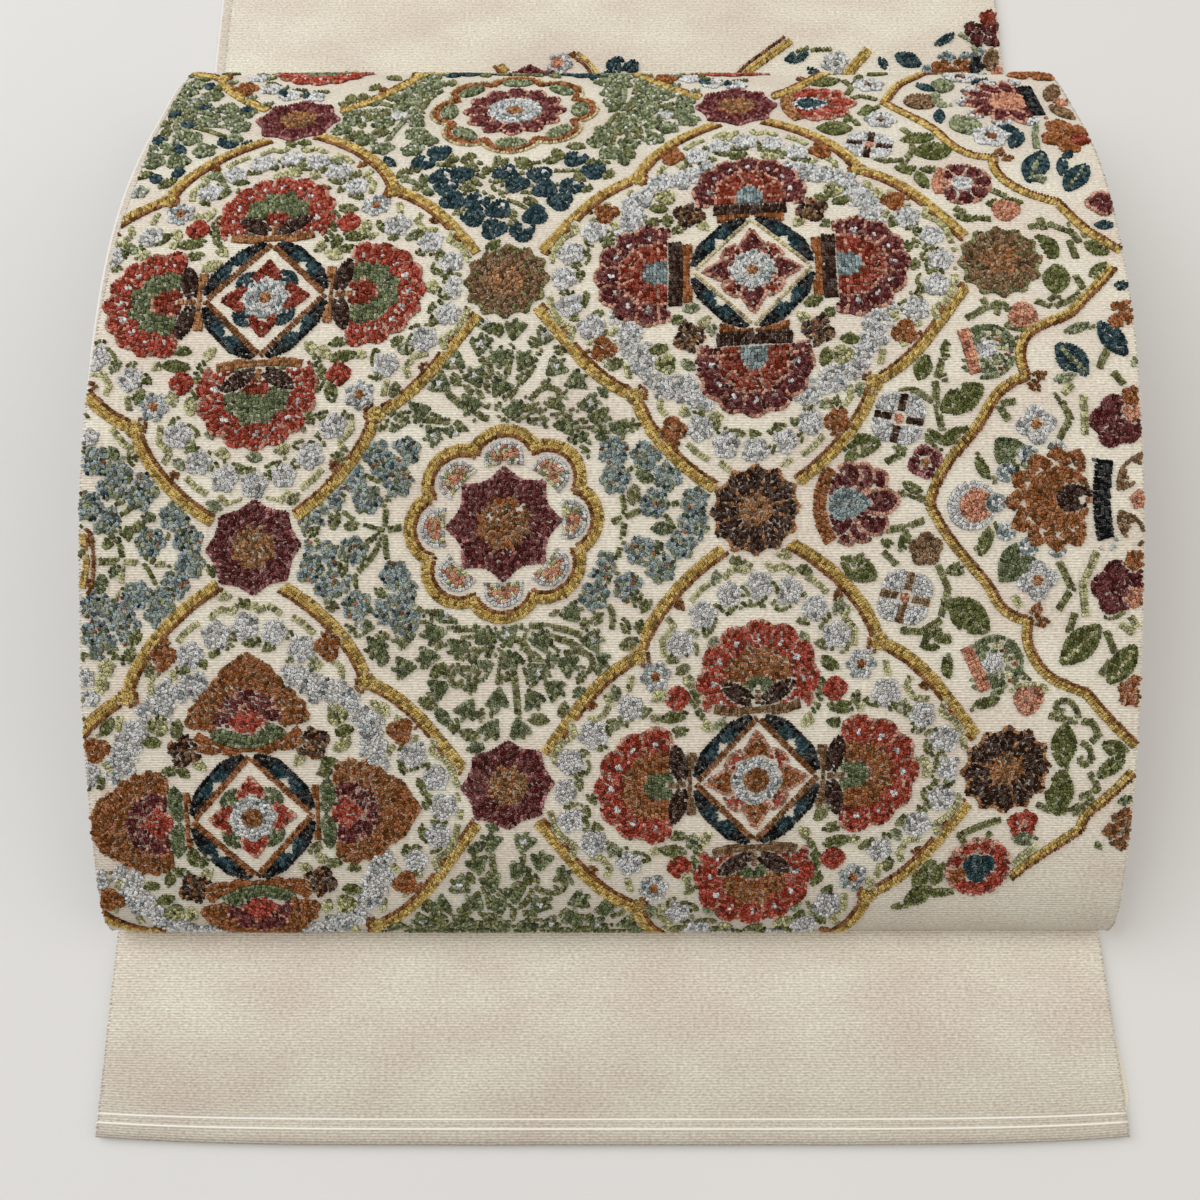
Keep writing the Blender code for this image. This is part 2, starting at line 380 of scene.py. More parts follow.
def nearest(points: Array, others: Array) -> Array:
    """How far each point is from the nearest of the others."""
    if not len(others):
        return np.full(len(points), np.inf)
    return np.hypot(points[:, None, 0] - others[None, :, 0],
                    points[:, None, 1] - others[None, :, 1]).min(axis=1)


def even_steps(points: Array, step: float, closed: bool) -> Array:
    """The same line with its points evenly spaced."""
    loop = np.vstack([points, points[:1]]) if closed else points
    run = np.concatenate([[0.0], np.cumsum(np.hypot(*np.diff(loop, axis=0).T))])
    count = max(int(run[-1] / step), 2)
    at = np.linspace(0, run[-1], count, endpoint=not closed)
    return np.stack([np.interp(at, run, loop[:, 0]), np.interp(at, run, loop[:, 1])], axis=1)


def tangents(points: Array, closed: bool) -> Array:
    """The direction of a line at each of its points."""
    if closed:
        along = np.roll(points, -1, axis=0) - np.roll(points, 1, axis=0)
    else:
        along = np.gradient(points, axis=0)
    return along / np.maximum(np.hypot(*along.T), 1e-9)[:, None]


def contour(outline: Outline, reach: float, rays: int = 72) -> tuple[Array, float]:
    """The edge of an outline all round, seen from its deepest point, and how deep that point is."""
    grid = np.linspace(-reach, reach, 33)
    u, v = (part.ravel() for part in np.meshgrid(grid, grid))
    centre = None
    for _ in range(2):
        depth = outline(u, v)
        top = int(np.argmax(depth))
        centre = np.array([u[top], v[top]])
        fine = np.linspace(-reach / 16, reach / 16, 17)
        u, v = (part.ravel() for part in np.meshgrid(centre[0] + fine, centre[1] + fine))
    if depth[top] <= 0:
        return np.zeros((0, 2)), 0.0
    angle = np.linspace(0, math.tau, rays, endpoint=False)
    out = np.linspace(0, 2 * reach, 110)
    way = np.stack([np.cos(angle), np.sin(angle)], axis=1)
    spots = centre + way[:, None, :] * out[None, :, None]
    depth = outline(spots[..., 0].ravel(), spots[..., 1].ravel()).reshape(rays, -1)
    past = np.argmax(depth <= 0, axis=1)
    before, after = depth[np.arange(rays), past - 1], depth[np.arange(rays), past]
    share = np.clip(before / np.maximum(before - after, 1e-6), 0, 1)
    edge = centre + way * (out[past - 1] + share * (out[1] - out[0]))[:, None]
    return edge, float(nearest(centre[None], even_steps(edge, 0.3, True))[0])


def spread(points: Array, kept: Array, pace: float, closed: bool) -> Array:
    """Indexes of evenly spaced ones of a line's kept points, each run of them by itself."""
    count = len(points)
    order = np.arange(count)
    if closed and not kept.all():
        order = np.roll(order, -int(np.argmin(kept)))
    step = np.hypot(*(points[np.roll(order, -1)] - points[order]).T)
    held = kept[order]
    bounds = np.flatnonzero(np.diff(np.concatenate([[0], held.astype(int), [0]])))
    found: list[int] = []
    for first, last in zip(bounds[::2], bounds[1::2]):
        whole = closed and last - first == count
        run = np.concatenate([[0.0], np.cumsum(step[first:last if whole else last - 1])])
        many = max(1, round(run[-1] / pace))
        at = (np.arange(many) + (0.0 if whole else 0.5)) * run[-1] / many
        found += order[first + np.searchsorted(run, at).clip(0, last - first - 1)].tolist()
    return np.array(found, dtype=int)


@dataclass
class Rows:
    """Rows of knots: where each lies, which way its row runs, its row, and how large it is."""

    spots: Array = field(default_factory=lambda: np.zeros((0, 2)))
    way: Array = field(default_factory=lambda: np.zeros((0, 2)))
    row: Array = field(default_factory=lambda: np.zeros(0, int))
    size: float = 1.0

    def take(self, spots: Array, way: Array, row: int, least: float) -> None:
        """Add those knots of a row that have room."""
        held: list[int] = []
        free = np.flatnonzero(nearest(spots, self.spots) >= least)
        for index in free:
            if not held or nearest(spots[index:index + 1], spots[held])[0] >= least:
                held.append(int(index))
        self.spots = np.vstack([self.spots, spots[held]])
        self.way = np.vstack([self.way, way[held]])
        self.row = np.concatenate([self.row, np.full(len(held), row)])

    @classmethod
    @cache
    def within(cls, outline: Outline, reach: float, pitch: float) -> Rows:
        """Rows that follow the edge of an outline, one inside the other."""
        edge, deep = contour(outline, reach)
        rows = cls()
        if not len(edge):
            return rows
        across = max(1, round(2 * deep / pitch))
        apart = 2 * deep / across
        rows.size = (apart / pitch) ** 0.5
        edge = even_steps(edge, 0.22, True)
        along = tangents(edge, True)
        inward = np.stack([-along[:, 1], along[:, 0]], axis=1)
        for row in range((across + 1) // 2 + 1):
            depth = apart * (row + 0.5)
            line = edge + inward * min(depth, deep)
            kept = nearest(line, edge) > min(depth, deep) - 0.09
            if not kept.any() or depth > deep + apart * 0.6:
                break
            picked = spread(line, kept, pitch, True)
            rows.take(line[picked], along[picked], row, 0.66 * pitch)
        rows.fill(edge, deep, pitch)
        return rows

    def fill(self, edge: Array, deep: float, pitch: float) -> None:
        """Put knots where the innermost rows left room."""
        low, high = edge.min(axis=0), edge.max(axis=0)
        u, v = np.meshgrid(*(np.arange(a, b, 0.45) for a, b in zip(low, high)))
        spots = np.stack([u.ravel(), v.ravel()], axis=1)
        ring = np.vstack([edge[::3], edge[:1]])
        cross = np.zeros(len(spots), bool)
        for (u0, v0), (u1, v1) in zip(ring, ring[1:]):
            if v0 != v1:
                hit = (spots[:, 1] < v0) != (spots[:, 1] < v1)
                cross ^= hit & (spots[:, 0] < u0 + (spots[:, 1] - v0) / (v1 - v0) * (u1 - u0))
        spots = spots[cross]
        far = nearest(spots, self.spots)
        spots, far = spots[far > 0.76 * pitch], far[far > 0.76 * pitch]
        deep_in = nearest(spots, edge[::2]) > min(0.45 * pitch, 0.9 * deep)
        spots, far = spots[deep_in], far[deep_in]
        while len(spots):
            best = int(np.argmax(far))
            if far[best] < 0.76 * pitch:
                break
            self.take(spots[best:best + 1], np.array([[1.0, 0.0]]), 9, 0.0)
            far = np.minimum(far, np.hypot(*(spots - spots[best]).T))

    @classmethod
    def along(cls, points: Sequence[Point], width: float, pitch: float, closed: bool = False) -> Rows:
        """Rows side by side along a line through points."""
        line = even_steps(np.array(points, float), 0.22, closed)
        way = tangents(line, closed)
        side = np.stack([-way[:, 1], way[:, 0]], axis=1)
        across = max(1, round(width / pitch))
        apart = width / across
        rows = cls(size=min((apart / pitch) ** 0.5, 1.12))
        for row in range(across):
            offset = (row - (across - 1) / 2) * apart
            place = line + side * offset
            kept = nearest(place, line) > abs(offset) - 0.09
            picked = spread(place, kept, pitch, closed)
            rows.take(place[picked], way[picked], row, 0.70 * min(pitch, apart))
        return rows


@dataclass
class Ground:
    """The flat cloth and the knots worked on it so far, the later in place of the earlier.

    Args:
        pitch: How far apart rows of knots lie, in millimetres.
        coarse: The same where the cloth goes down behind the drum.
        turn_over: Where that begins.
        stray: How far a knot strays from its place.
        half: How far from the cloth's middle the work reaches.
        first: Where along the cloth it starts.
        room: The most knots ever worked.
        seed: For the strays and flecks.
    """

    pitch: float = 1.03
    coarse: float = 1.30
    turn_over: float = 334.0
    stray: float = 0.05
    half: float = 156.5
    first: float = -2.0
    room: int = 160_000
    seed: int = 7
    worked: int = 0

    def __post_init__(self) -> None:
        """Start with a bare cloth."""
        self.rng = np.random.default_rng(self.seed)
        self.x, self.s, self.heading, self.size = (np.zeros(self.room) for _ in range(4))
        self.thread = np.full(self.room, -1)

    def pitch_at(self, s: float) -> float:
        """How far apart rows lie at a place along the cloth."""
        return self.pitch if s < self.turn_over else self.coarse

    def near(self, cell: Cell, reach: float) -> tuple[Array, Array, Array]:
        """The knots within reach of a place, and their u and v there."""
        x, s = self.x[:self.worked], self.s[:self.worked]
        close = (np.abs(x - cell.x) < reach) & (self.thread[:self.worked] >= 0)
        close &= np.abs(s - cell.s - cell.slope * x) < reach
        picked = np.flatnonzero(close)
        return picked, *cell.local(x[picked], s[picked])

    def bare(self, cell: Cell, outline: Outline, reach: float, margin: float = 0.0) -> None:
        """Leave an outline bare, and as much round it as the margin says."""
        picked, u, v = self.near(cell, reach + margin)
        self.thread[picked[outline(u, v) > -margin]] = -1

    def put(self, cell: Cell, rows: Rows, threads: Array) -> None:
        """Work rows of knots at a place."""
        many = len(rows.spots)
        stray = self.rng.normal(0, self.stray, (many, 2))
        x, s = cell.cloth(*(rows.spots + stray).T)
        x1, s1 = cell.cloth(*(rows.spots + stray + rows.way * 0.1).T)
        taken = slice(self.worked, self.worked + many)
        self.x[taken], self.s[taken] = x, s
        self.thread[taken] = np.where((np.abs(x) < self.half) & (s > self.first), threads, -1)
        self.heading[taken] = np.arctan2(s1 - s, x1 - x)
        self.size[taken] = rows.size * self.pitch_at(float(s.mean()) if many else 0.0) / self.pitch
        self.worked += many


SLOPE = 0.0625


@dataclass(frozen=True)
class Cell:
    """A place in the lattice, with its own u and v. The rows rise a little to the right.

    Args:
        x: Across the cloth, from its middle.
        s: Along the cloth, at its middle line.
        turn: How far u is turned from x, in radians.
        mirror: True where v is flipped.
        slope: The rise of the rows.
    """

    x: float
    s: float
    turn: float = 0.0
    mirror: bool = False
    slope: float = SLOPE

    def turned(self, turn: float, mirror: bool = False) -> Cell:
        """The same place, turned, and flipped if asked."""
        return Cell(self.x, self.s, self.turn + turn, self.mirror != mirror, self.slope)

    def at(self, u: float, v: float, turn: float = 0.0) -> Cell:
        """A place at u and v in this one, turned by turn."""
        if self.mirror:
            v, turn = -v, -turn
        dx = u * math.cos(self.turn) - v * math.sin(self.turn)
        ds = u * math.sin(self.turn) + v * math.cos(self.turn)
        return Cell(self.x + dx, self.s + ds, self.turn + turn, self.mirror, self.slope)

    def local(self, x: Array, s: Array) -> tuple[Array, Array]:
        """The u and v of points on the cloth."""
        dx, ds = x - self.x, s - self.s - self.slope * x
        u = dx * math.cos(self.turn) + ds * math.sin(self.turn)
        v = -dx * math.sin(self.turn) + ds * math.cos(self.turn)
        return u, (-v if self.mirror else v)

    def cloth(self, u: Array, v: Array) -> tuple[Array, Array]:
        """Where points at u and v lie on the cloth."""
        v = -v if self.mirror else v
        x = self.x + u * math.cos(self.turn) - v * math.sin(self.turn)
        s = self.s + u * math.sin(self.turn) + v * math.cos(self.turn)
        return x, s + self.slope * x


# ---------------------------------------------------------------------------------------------
# The embroidery

ACROSS = math.pi / 2
# How far round an outline the knots below it are taken out, as a share of the rows' pitch.
CLEARANCE = 0.42
BLUE_HEART = ((TEAL, 0.07), (SAGE, 0.2), (GREEN, 0.06), (RUST, 0.03))
FAN_MIX = ((SAGE, 0.18), (OLIVE, 0.2))
GREENS = (LEAF, LEAF, CELERY, CELERY, SAGE, OLIVE)
DARK_GREENS = (LEAF, OLIVE, OLIVE, GREEN)
MOSS_MIX = ((SAGE, 0.45), (LILAC, 0.06))


def spot(x: float, s: float, turn: float = 0.0) -> Cell:
    """A place by its measures on the cloth."""
    return Cell(x, s - SLOPE * x, turn)


def off_step(angle: Array, step: float) -> Array:
    """How far angles are from the nearest whole number of steps."""
    return np.abs((angle + step / 2) % step - step / 2)


def quarters(cell: Cell) -> list[Cell]:
    """The place four times, each time flipped into another quarter."""
    return [cell, cell.turned(0, True), cell.turned(math.pi), cell.turned(math.pi, True)]


@dataclass(frozen=True)
class PalmetteWork:
    """The threads of one palmette.

    Args:
        petals: The outer petals.
        rim: The knots between and round the petals.
        field: The ground inside the petals.
        core: The heart of it.
        count: How many petals would go all round.
        inner: True where the field is a ring of petals of its own.
        dark: The bar of its base away from the medallion.
        light: The bar nearest to the medallion.
        glint: The paler knots at the edge of the field.
    """

    petals: Thread
    rim: Thread
    field: Thread
    core: Thread
    count: int = 15
    inner: bool = False
    dark: Thread = DARK_BROWN
    light: Thread = TAN
    glint: Thread = CELERY

    def shade(self, rng: np.random.Generator, arched: bool) -> Shade:
        """The rule that gives each knot of the fan its thread.

        Args:
            rng: For the flecks.
            arched: True where its heart is a low half round, not a drop.

        Returns:
            The rule, in the frame of the fan's own middle.
        """
        code = {name: THREADS.index(getattr(self, name))
                for name in ("petals", "rim", "field", "core", "glint")}
        white = THREADS.index(LILAC)

        def rule(u: Array, v: Array, row: Array) -> Array:
            far, angle, lot = np.hypot(u, v), np.arctan2(v, u), rng.random(len(u))
            step = math.tau / self.count
            off = off_step(angle, step)
            edge = 10.2 - 0.5 * np.cos(angle * 9)
            chosen = np.full(len(u), code["petals"])
            chosen[(off * far > step * far / 2 - 0.40) & (lot < 0.72)] = code["rim"]
            chosen[(row == 0) & (lot < (0.75 if self.inner else 0.50))] = code["rim"]
            chosen[(off * far < 0.75) & (np.abs(far - 12.9) < 0.9)] = white
            chosen[far < edge + 0.9] = code["rim"] if self.inner else code["petals"]
            chosen[far < edge] = code["field"]
            if self.inner:
                wide = np.pi / 4.5
                lean = off_step(angle, wide)
                chosen[(far < edge) & (lean * far > wide * far / 2 - 0.40) & (lot < 0.75)] = code["rim"]
            else:
                chosen[(far < edge) & (far > edge - 1.0) & (lot < 0.4)] = code["glint"]
                chosen[(far < edge - 1.0) & (lot < 0.12)] = code["glint"]
            drop = np.abs(v) * 1.15 + 0.5 * np.maximum(u, 0)
            heart = np.hypot((u + 1.8) * 1.35, v) if arched else np.maximum(np.hypot(u * 0.85 + 1.8, v), drop)
            chosen[heart < 5.4] = np.where(lot[heart < 5.4] < 0.5, code["rim"], code["field"])
            chosen[heart < 4.6] = code["core"]
            return chosen

        return rule


@dataclass(frozen=True)
class MedallionWork:
    """The threads of one medallion.

    Args:
        border: The border of the square.
        cardinal: The four petals towards the corners of the square.
        diagonal: The four leaves between them.
        filled: True where the petals fill the square.
        heart: The radius of the pale flower, and of its own middle.
        middle: The thread of that middle.
        rim: The edge of the four petals.
    """

    border: Thread
    cardinal: Thread
    diagonal: Thread
    filled: bool = False
    heart: tuple[float, float] = (6.8, 1.8)
    middle: Thread = TAN
    rim: Thread | None = None


@dataclass
class Embroidery:
    """The pattern, worked on the ground motif by motif, the later over the earlier."""

    ground: Ground = field(default_factory=Ground)
    rng: np.random.Generator = field(default_factory=lambda: np.random.default_rng(31))

    # Small parts

    def cleared(self, cell: Cell, outline: Outline, reach: float) -> Rows:
        """The rows of knots that fill an outline, whose place is left bare for them."""
        pitch = self.ground.pitch_at(cell.s)
        self.ground.bare(cell, outline, reach, CLEARANCE * pitch)
        return Rows.within(outline, reach, pitch)

    def fill(self, cell: Cell, outline: Outline, thread: Thread, reach: float, rim: Thread | None = None,
             rim_share: float = 1.0, flecks: Flecks = ()) -> None:
        """Fill an outline with rows of knots, in place of what was there.

        Args:
            cell: Where it lies.
            outline: The outline to fill.
            thread: The filling's thread.
            reach: No point of the outline is further than this from the cell's place.
            rim: The thread of the outermost row of knots.
            rim_share: The share of that row which has it.
            flecks: Threads mixed into the filling, and the share of each.
        """
        ground, rows = self.ground, self.cleared(cell, outline, reach)
        threads = np.full(len(rows.spots), THREADS.index(thread))
        lot, share = ground.rng.random(len(threads)), 0.0
        for fleck, part in flecks:
            threads[(lot >= share) & (lot < share + part)] = THREADS.index(fleck)
            share += part
        if rim is not None:
            threads[(rows.row == 0) & (ground.rng.random(len(threads)) < rim_share)] = THREADS.index(rim)
        ground.put(cell, rows, threads)

    def shaded(self, cell: Cell, outline: Outline, reach: float, shade: Shade) -> None:
        """Fill an outline with rows of knots whose threads a rule chooses, or -1 for no knot."""
        rows = self.cleared(cell, outline, reach)
        self.ground.put(cell, rows, shade(*rows.spots.T, rows.row))

    def line(self, points: Sequence[Point], thread: Thread | Sequence[Thread], width: float = 1.75,
             cell: Cell | None = None, closed: bool = False) -> None:
        """Rows of knots along a line, one thread for all or one for each row, the first on its right.

        Args:
            points: The line, on the cloth or in a cell.
            thread: One thread for all rows, or one for each row.
            width: How wide the rows are together.
            cell: Where the points' own origin lies, or None where they are places on the cloth.
            closed: True where the line runs back to its start.
        """
        threads = [thread] if isinstance(thread, Thread) else list(thread)
        if cell is None:
            xs, ss = zip(*points)
            cell = Cell((min(xs) + max(xs)) / 2, (min(ss) + max(ss)) / 2, slope=0.0)
            points = [(x - cell.x, s - cell.s) for x, s in points]
        pitch = self.ground.pitch_at(cell.s)
        rows = Rows.along(points, width, width / len(threads) if len(threads) > 1 else pitch, closed)
        whole = list(points) + [points[0]] if closed else points
        reach = float(np.abs(np.array(points)).max()) + width
        self.ground.bare(cell, stroke(whole, width), reach * 1.42, CLEARANCE * pitch)
        chosen = np.array([THREADS.index(thread) for thread in threads])
        self.ground.put(cell, rows, chosen[np.minimum(len(threads) - 1, rows.row)])

    def leaf(self, cell: Cell, length: float, width: float, thread: Thread = LEAF,
             vein: Thread | None = None) -> None:
        """A leaf along the cell's u, from its place."""
        if vein is None:
            self.fill(cell, leaf(length, width), thread, length)
            return
        plain, pale = THREADS.index(thread), THREADS.index(vein)

        def rule(u: Array, v: Array, row: Array) -> Array:
            return np.where((np.abs(v) < 0.6) & (u > length * 0.12) & (u < length * 0.85), pale, plain)

        self.shaded(cell, leaf(length, width), length, rule)

    def blossom(self, cell: Cell, radius: float = 3.7, thread: Thread = LILAC,
                core: Thread | None = None, petals: int = 5, flecks: Flecks = ()) -> None:
        """A small round flower."""
        turned = cell.turned(round(self.rng.uniform(0, math.tau), 1))
        self.fill(turned, flower(radius, petals, 0.23), thread, radius + 1, flecks=flecks)
        if core is not None:
            self.fill(cell, disc(min(1.3, radius * 0.3)), core, 3)

    def blossoms(self, places: Sequence[tuple], *how: Any, **more: Any) -> None:
        """A blossom at each place on the cloth. What follows a place is its own, the rest they share."""
        for x, s, *own in places:
            self.blossom(spot(x, s), *own, *how, **more)

    def leaves(self, places: Sequence[tuple], *how: Any) -> None:
        """A leaf at each place and turn on the cloth. What follows a turn is its own."""
        for x, s, turn, *own in places:
            self.leaf(spot(x, s, turn), *own, *how)

    def lines(self, runs: Sequence[Sequence[Point]], thread: Thread, width: float) -> None:
        """A line of one thread through each run of points on the cloth."""
        for run in runs:
            self.line(run, thread, width)

    def blue_blossom(self, cell: Cell, radius: float = 4.7) -> None:
        """A blue-grey flower with a dark, mixed middle."""
        self.blossom(cell, radius, BLUE, None, 6, BLUE_HEART)

    def cupped(self, cell: Cell, radius: float = 4.2, thread: Thread = LILAC,
               cup: Thread = LEAF) -> None:
        """A blossom with two leaves at its foot, which lies towards minus u."""
        side = self.rng.choice((-1, 1))
        self.fill(cell.at(-radius - 0.8, -4.4 * side, 1.15 * side), leaf(8.4, 3.8, 0.6), cup, 9)
        self.fill(cell.at(-radius - 0.2, 4.6 * side, -0.3 * side), leaf(5.8, 2.9), cup, 7)
        self.blossom(cell, radius, thread)

    def bud(self, cell: Cell, thread: Thread = RED, cup: Thread = LEAF) -> None:
        """A square bud with a cup towards minus u and a leaf on each side."""
        for side in (-1, 1):
            self.fill(cell.at(-5.2, 0.8 * side, 0.92 * side), leaf(9.0, 3.8, 0.6), cup, 10)
        self.fill(cell.turned(math.pi / 4).at(0.6, 0.6), flower(3.7, 4, 0.12), thread, 5)

    def fan_leaf(self, cell: Cell, size: float = 8.4) -> None:
        """A leaf of three lobes along the cell's u, green and paler, now and then with a white spot."""
        self.fill(cell, lobed_fan(size, 0.55), GREEN, size, flecks=FAN_MIX)
        if self.rng.random() < 0.35:
            self.fill(cell.at(size * 0.1, 0), disc(0.95), LILAC, 2)

    def tendril(self, start: Point, heading: float, turn: float, size: float,
                thread: Thread = OLIVE, width: float = 1.7) -> None:
        """A tendril that winds in on itself."""
        self.line(curl(start, turn, size, heading), thread, width)

    # Rosettes

    def rosette(self, cell: Cell, petals: Thread, rim: Thread, core: Thread, radius: float = 14.2,
                count: int = 8, heart: float = 6.2, notch: float = 0.15) -> None:
        """A round flower of broad petals, which hides where four bands meet."""
        code = {thread: THREADS.index(thread) for thread in (petals, rim, core, TAUPE)}

        def rule(u: Array, v: Array, row: Array) -> Array:
            far, angle, lot = np.hypot(u, v), np.arctan2(v, u), self.rng.random(len(u))
            step = math.tau / count
            off = off_step(angle, step)
            chosen = np.full(len(u), code[petals])
            chosen[(off * far > step * far / 2 - 0.42) & (far > heart) & (lot < 0.6)] = code[rim]
            chosen[(row == 0) & (lot > (0.6 if count < 10 else 0.35))] = code[rim]
            inside = far < heart - 0.6 + 1.4 * (2 * off / step) ** 2
            chosen[inside] = np.where(lot[inside] < 0.7, code[core], code[TAUPE])
            return chosen

        self.ground.bare(cell, disc(radius + 0.4), radius + 2)
        self.shaded(cell, star(radius, count, notch), radius + 1, rule)

    # Palmettes and medallions

    def palmette(self, cell: Cell, threads: PalmetteWork, arched: bool) -> None:
        """A palmette that grows from u = 19 outwards, on an arched or a straight base."""
        heart = cell.at(29.8, 0)
        foot = 8.2 if arched else 5.0
        self.shaded(heart, fan(18.2, threads.count, foot), 20, threads.shade(self.rng, arched))
        if arched:
            for side in (-1, 1):
                self.fill(cell.at(23.0, 0.4 * side, 1.02 * side), leaf(12.4, 5.0, 0.6), threads.dark, 14)
            self.line([(22.6, 0), (27.2, 0)], threads.light, 1.6, cell)
            self.line(bend((22.2, -12.4), (19.4, 0), (22.2, 12.4), 8), [threads.light] * 3, 2.5, cell)
        elif threads.inner:
            self.line([(23.4, -11.4), (23.0, 0), (23.4, 11.4)], [threads.dark] * 4, 4.2, cell)
            self.line([(19.6, -10.2), (19.6, 10.2)], [threads.light] * 3, 2.7, cell)
        else:
            for side in (-1, 1):
                self.fill(cell.at(21.6, 0.2 * side, 1.34 * side), leaf(12.6, 5.2, 0.6), threads.dark, 14)
            self.line([(20.6, 0), (26.0, 0)], threads.light, 1.6, cell)
            self.line([(19.2, -9.4), (18.7, 0), (19.2, 9.4)], [threads.light] * 3, 2.6, cell)

    def pointed_palmette(self, cell: Cell, pointed: bool) -> None:
        """A palmette with one rust body, five petals, a red heart and a green crescent."""
        rng = self.rng
        code = {thread: THREADS.index(thread) for thread in (RUST, BROWN, MAROON, PINK, RED, TAN)}
        middle = 29.6 if pointed else 28.2

        def rule(u: Array, v: Array, row: Array) -> Array:
            lot, u = rng.random(len(u)), u - middle
            far, angle = np.hypot(u, v), np.arctan2(v, u)
            chosen = np.where(lot < 0.3, code[BROWN], code[RUST])
            chosen[(row == 0) & (lot > 0.7)] = code[TAN]
            step = math.radians(42)
            lean = off_step(angle, step)
            edge = 9.9 - 0.9 * np.abs(np.sin(angle * math.pi / step))
            chosen[(far < edge + 0.5) & (lot < 0.8)] = code[PINK]
            chosen[far < edge] = code[MAROON]
            chosen[(far < edge) & (lean * far > step * far / 2 - 0.42) & (lot < 0.85)] = code[PINK]
            diamond = np.abs(u) + np.abs(v)
            chosen[(diamond < 6.2) & (lot < 0.8)] = code[PINK]
            chosen[diamond < 5.3] = code[RED]
            return chosen

        self.shaded(cell, POINTED_BODY if pointed else FAN_BODY, 56, rule)
        if pointed:
            self.line(bend((26.4, -15.4), (13.8, 0), (26.4, 15.4), 12), (RUST,) * 3, 2.7, cell)
            for side in (-1, 1):
                self.fill(cell.at(21.0, 8.4 * side, 1.36 * side), leaf(7.6, 2.6, 0.5), RUST, 9)
            self.fill(cell, cup(21.6, 4.6, 12.4, 3.9), GREEN, 32, SAGE, 0.35)
        else:
            for side in (-1, 1):
                self.fill(cell.at(21.8, 0.2 * side, 1.48 * side), leaf(11.0, 5.2, 0.6), GREEN, 14)
            self.line([(19.2, -9.2), (18.9, 0), (19.2, 9.2)], (RUST,) * 2, 1.9, cell)

    def medallion(self, cell: Cell, threads: MedallionWork, wide: float = 18.6, tall: float = 19.8) -> None:
        """A dark ring round a square that stands on its corner, with a flower in it."""
        ground = self.ground
        navy, teal = THREADS.index(NAVY), THREADS.index(TEAL)
        edge = oblong(wide, tall)

        def out(u: Array, v: Array) -> Array:
            return (np.abs(u) / wide + np.abs(v) / tall - 1) * wide * 0.71

        def rule(u: Array, v: Array, row: Array) -> Array:
            along = np.abs(np.abs(u) - np.abs(v) * wide / tall) * 0.71
            inner = out(u, v)
            chosen = np.full(len(u), navy)
            chosen[(inner < 3.6) & (along < 5.2) & (along + inner > 2.2)] = teal
            chosen[(inner < 3.2) & (along * 1.2 + inner < 3.3)] = -1
            return chosen

        ground.bare(cell, oblong(wide + 0.3, tall + 0.3), tall + 3)
        for side in quarters(cell):
            self.shaded(side, lambda u, v: np.minimum.reduce([edge(u, v), out(u, v) - 0.35, u, v]), tall + 1,
                        rule)
        corners = [(wide - 0.7, 0), (0, tall - 0.7), (0.7 - wide, 0), (0, 0.7 - tall)]
        for start, end in zip(corners, corners[1:] + corners[:1]):
            self.line([start, end], threads.border, 0.8 if threads.border is PALE_GOLD else 1.7, cell)
        full = threads.filled
        for corner in range(4):
            between = cell.turned(math.pi / 4 + corner * ACROSS)
            self.fill(between.at(4.4, 0), petal(7.0, 8.2 if full else 7.2), threads.diagonal, 8,
                      PINK if full else None)
        for corner in range(4):
            towards = cell.turned(corner * ACROSS)
            shape = petal_kite(11.6, 9.4) if full else petal_kite(9.2, 9.6)
            self.fill(towards.at(4.6, 0), shape, threads.cardinal, 12, threads.rim, 1.0 if full else 0.6)
        wide, narrow = threads.heart
        self.fill(cell, flower(wide, 8, 0.1), LILAC, 9, flecks=((BLUE, 0.2),))
        self.fill(cell, disc(narrow), threads.middle, 5, flecks=((TAN, 0.3),))

    # The lattice

    def lattice(self, cell: Cell) -> None:
        """The gold bands round one cell, with a brown edge, thorns and knobs on its inner side."""
        threads = (GOLD, GOLD, GOLD, BROWN)
        lower = bend((67, 5.0), (59.5, 15.6), (52.5, 24.8), 6)
        lower += bend((52.5, 24.8), (44.5, 35.0), (35.4, 38.9), 8)
        upper = bend((34.4, 40.8), (32.4, 48.0), (25.0, 56.4), 7)
        upper += bend((25.0, 56.4), (17.0, 65.4), (5.5, 71.2), 7)
        for quarter in quarters(cell):
            self.fill(quarter.at(36.6, 41.2, -2.32), petal_kite(7.8, 8.4), BROWN, 12)
            for near, tip in (((52.4, 25.4), (48.2, 25.6)), ((25.2, 56.4), (22.6, 52.8))):
                away = math.atan2(tip[1] - near[1], tip[0] - near[0])
                self.fill(quarter.at(*near, away), leaf(5.6, 3.0, 0.6), BROWN, 8)
            self.line(lower + upper, threads, 3.7, quarter)
            self.fill(quarter.at(35.2, 39.4), disc(2.6), GOLD, 4)

    # What fills a cell round its medallion

    def wreath(self, cell: Cell, ragged: bool) -> None:
        """The blossoms, buds and sprigs that lie along the inside of the lattice."""
        ends = [(0, 57.8), (8.6, 55.6), (16.2, 50.2), (55.0, 9.0), (57.0, 0), (48.2, 16.8)]
        between = [] if ragged else [(22.6, 42.0), (37.4, 24.2)]
        for quarter in quarters(cell):
            self.sprigs(quarter, ragged)
            for u, v in ends + between:
                inward = math.atan2(v, u) + self.rng.uniform(-0.5, 0.5)
                self.cupped(quarter.at(u, v, inward), round(self.rng.uniform(3.8, 4.5), 1))
            if ragged:
                self.ragged_corner(quarter)
            else:
                self.blossom(quarter.at(30.0, 33.0), 4.6, LILAC, RUST, 6, ((BLUE, 0.3),))
                self.bud(quarter.at(23.0, 25.6, math.pi / 4))

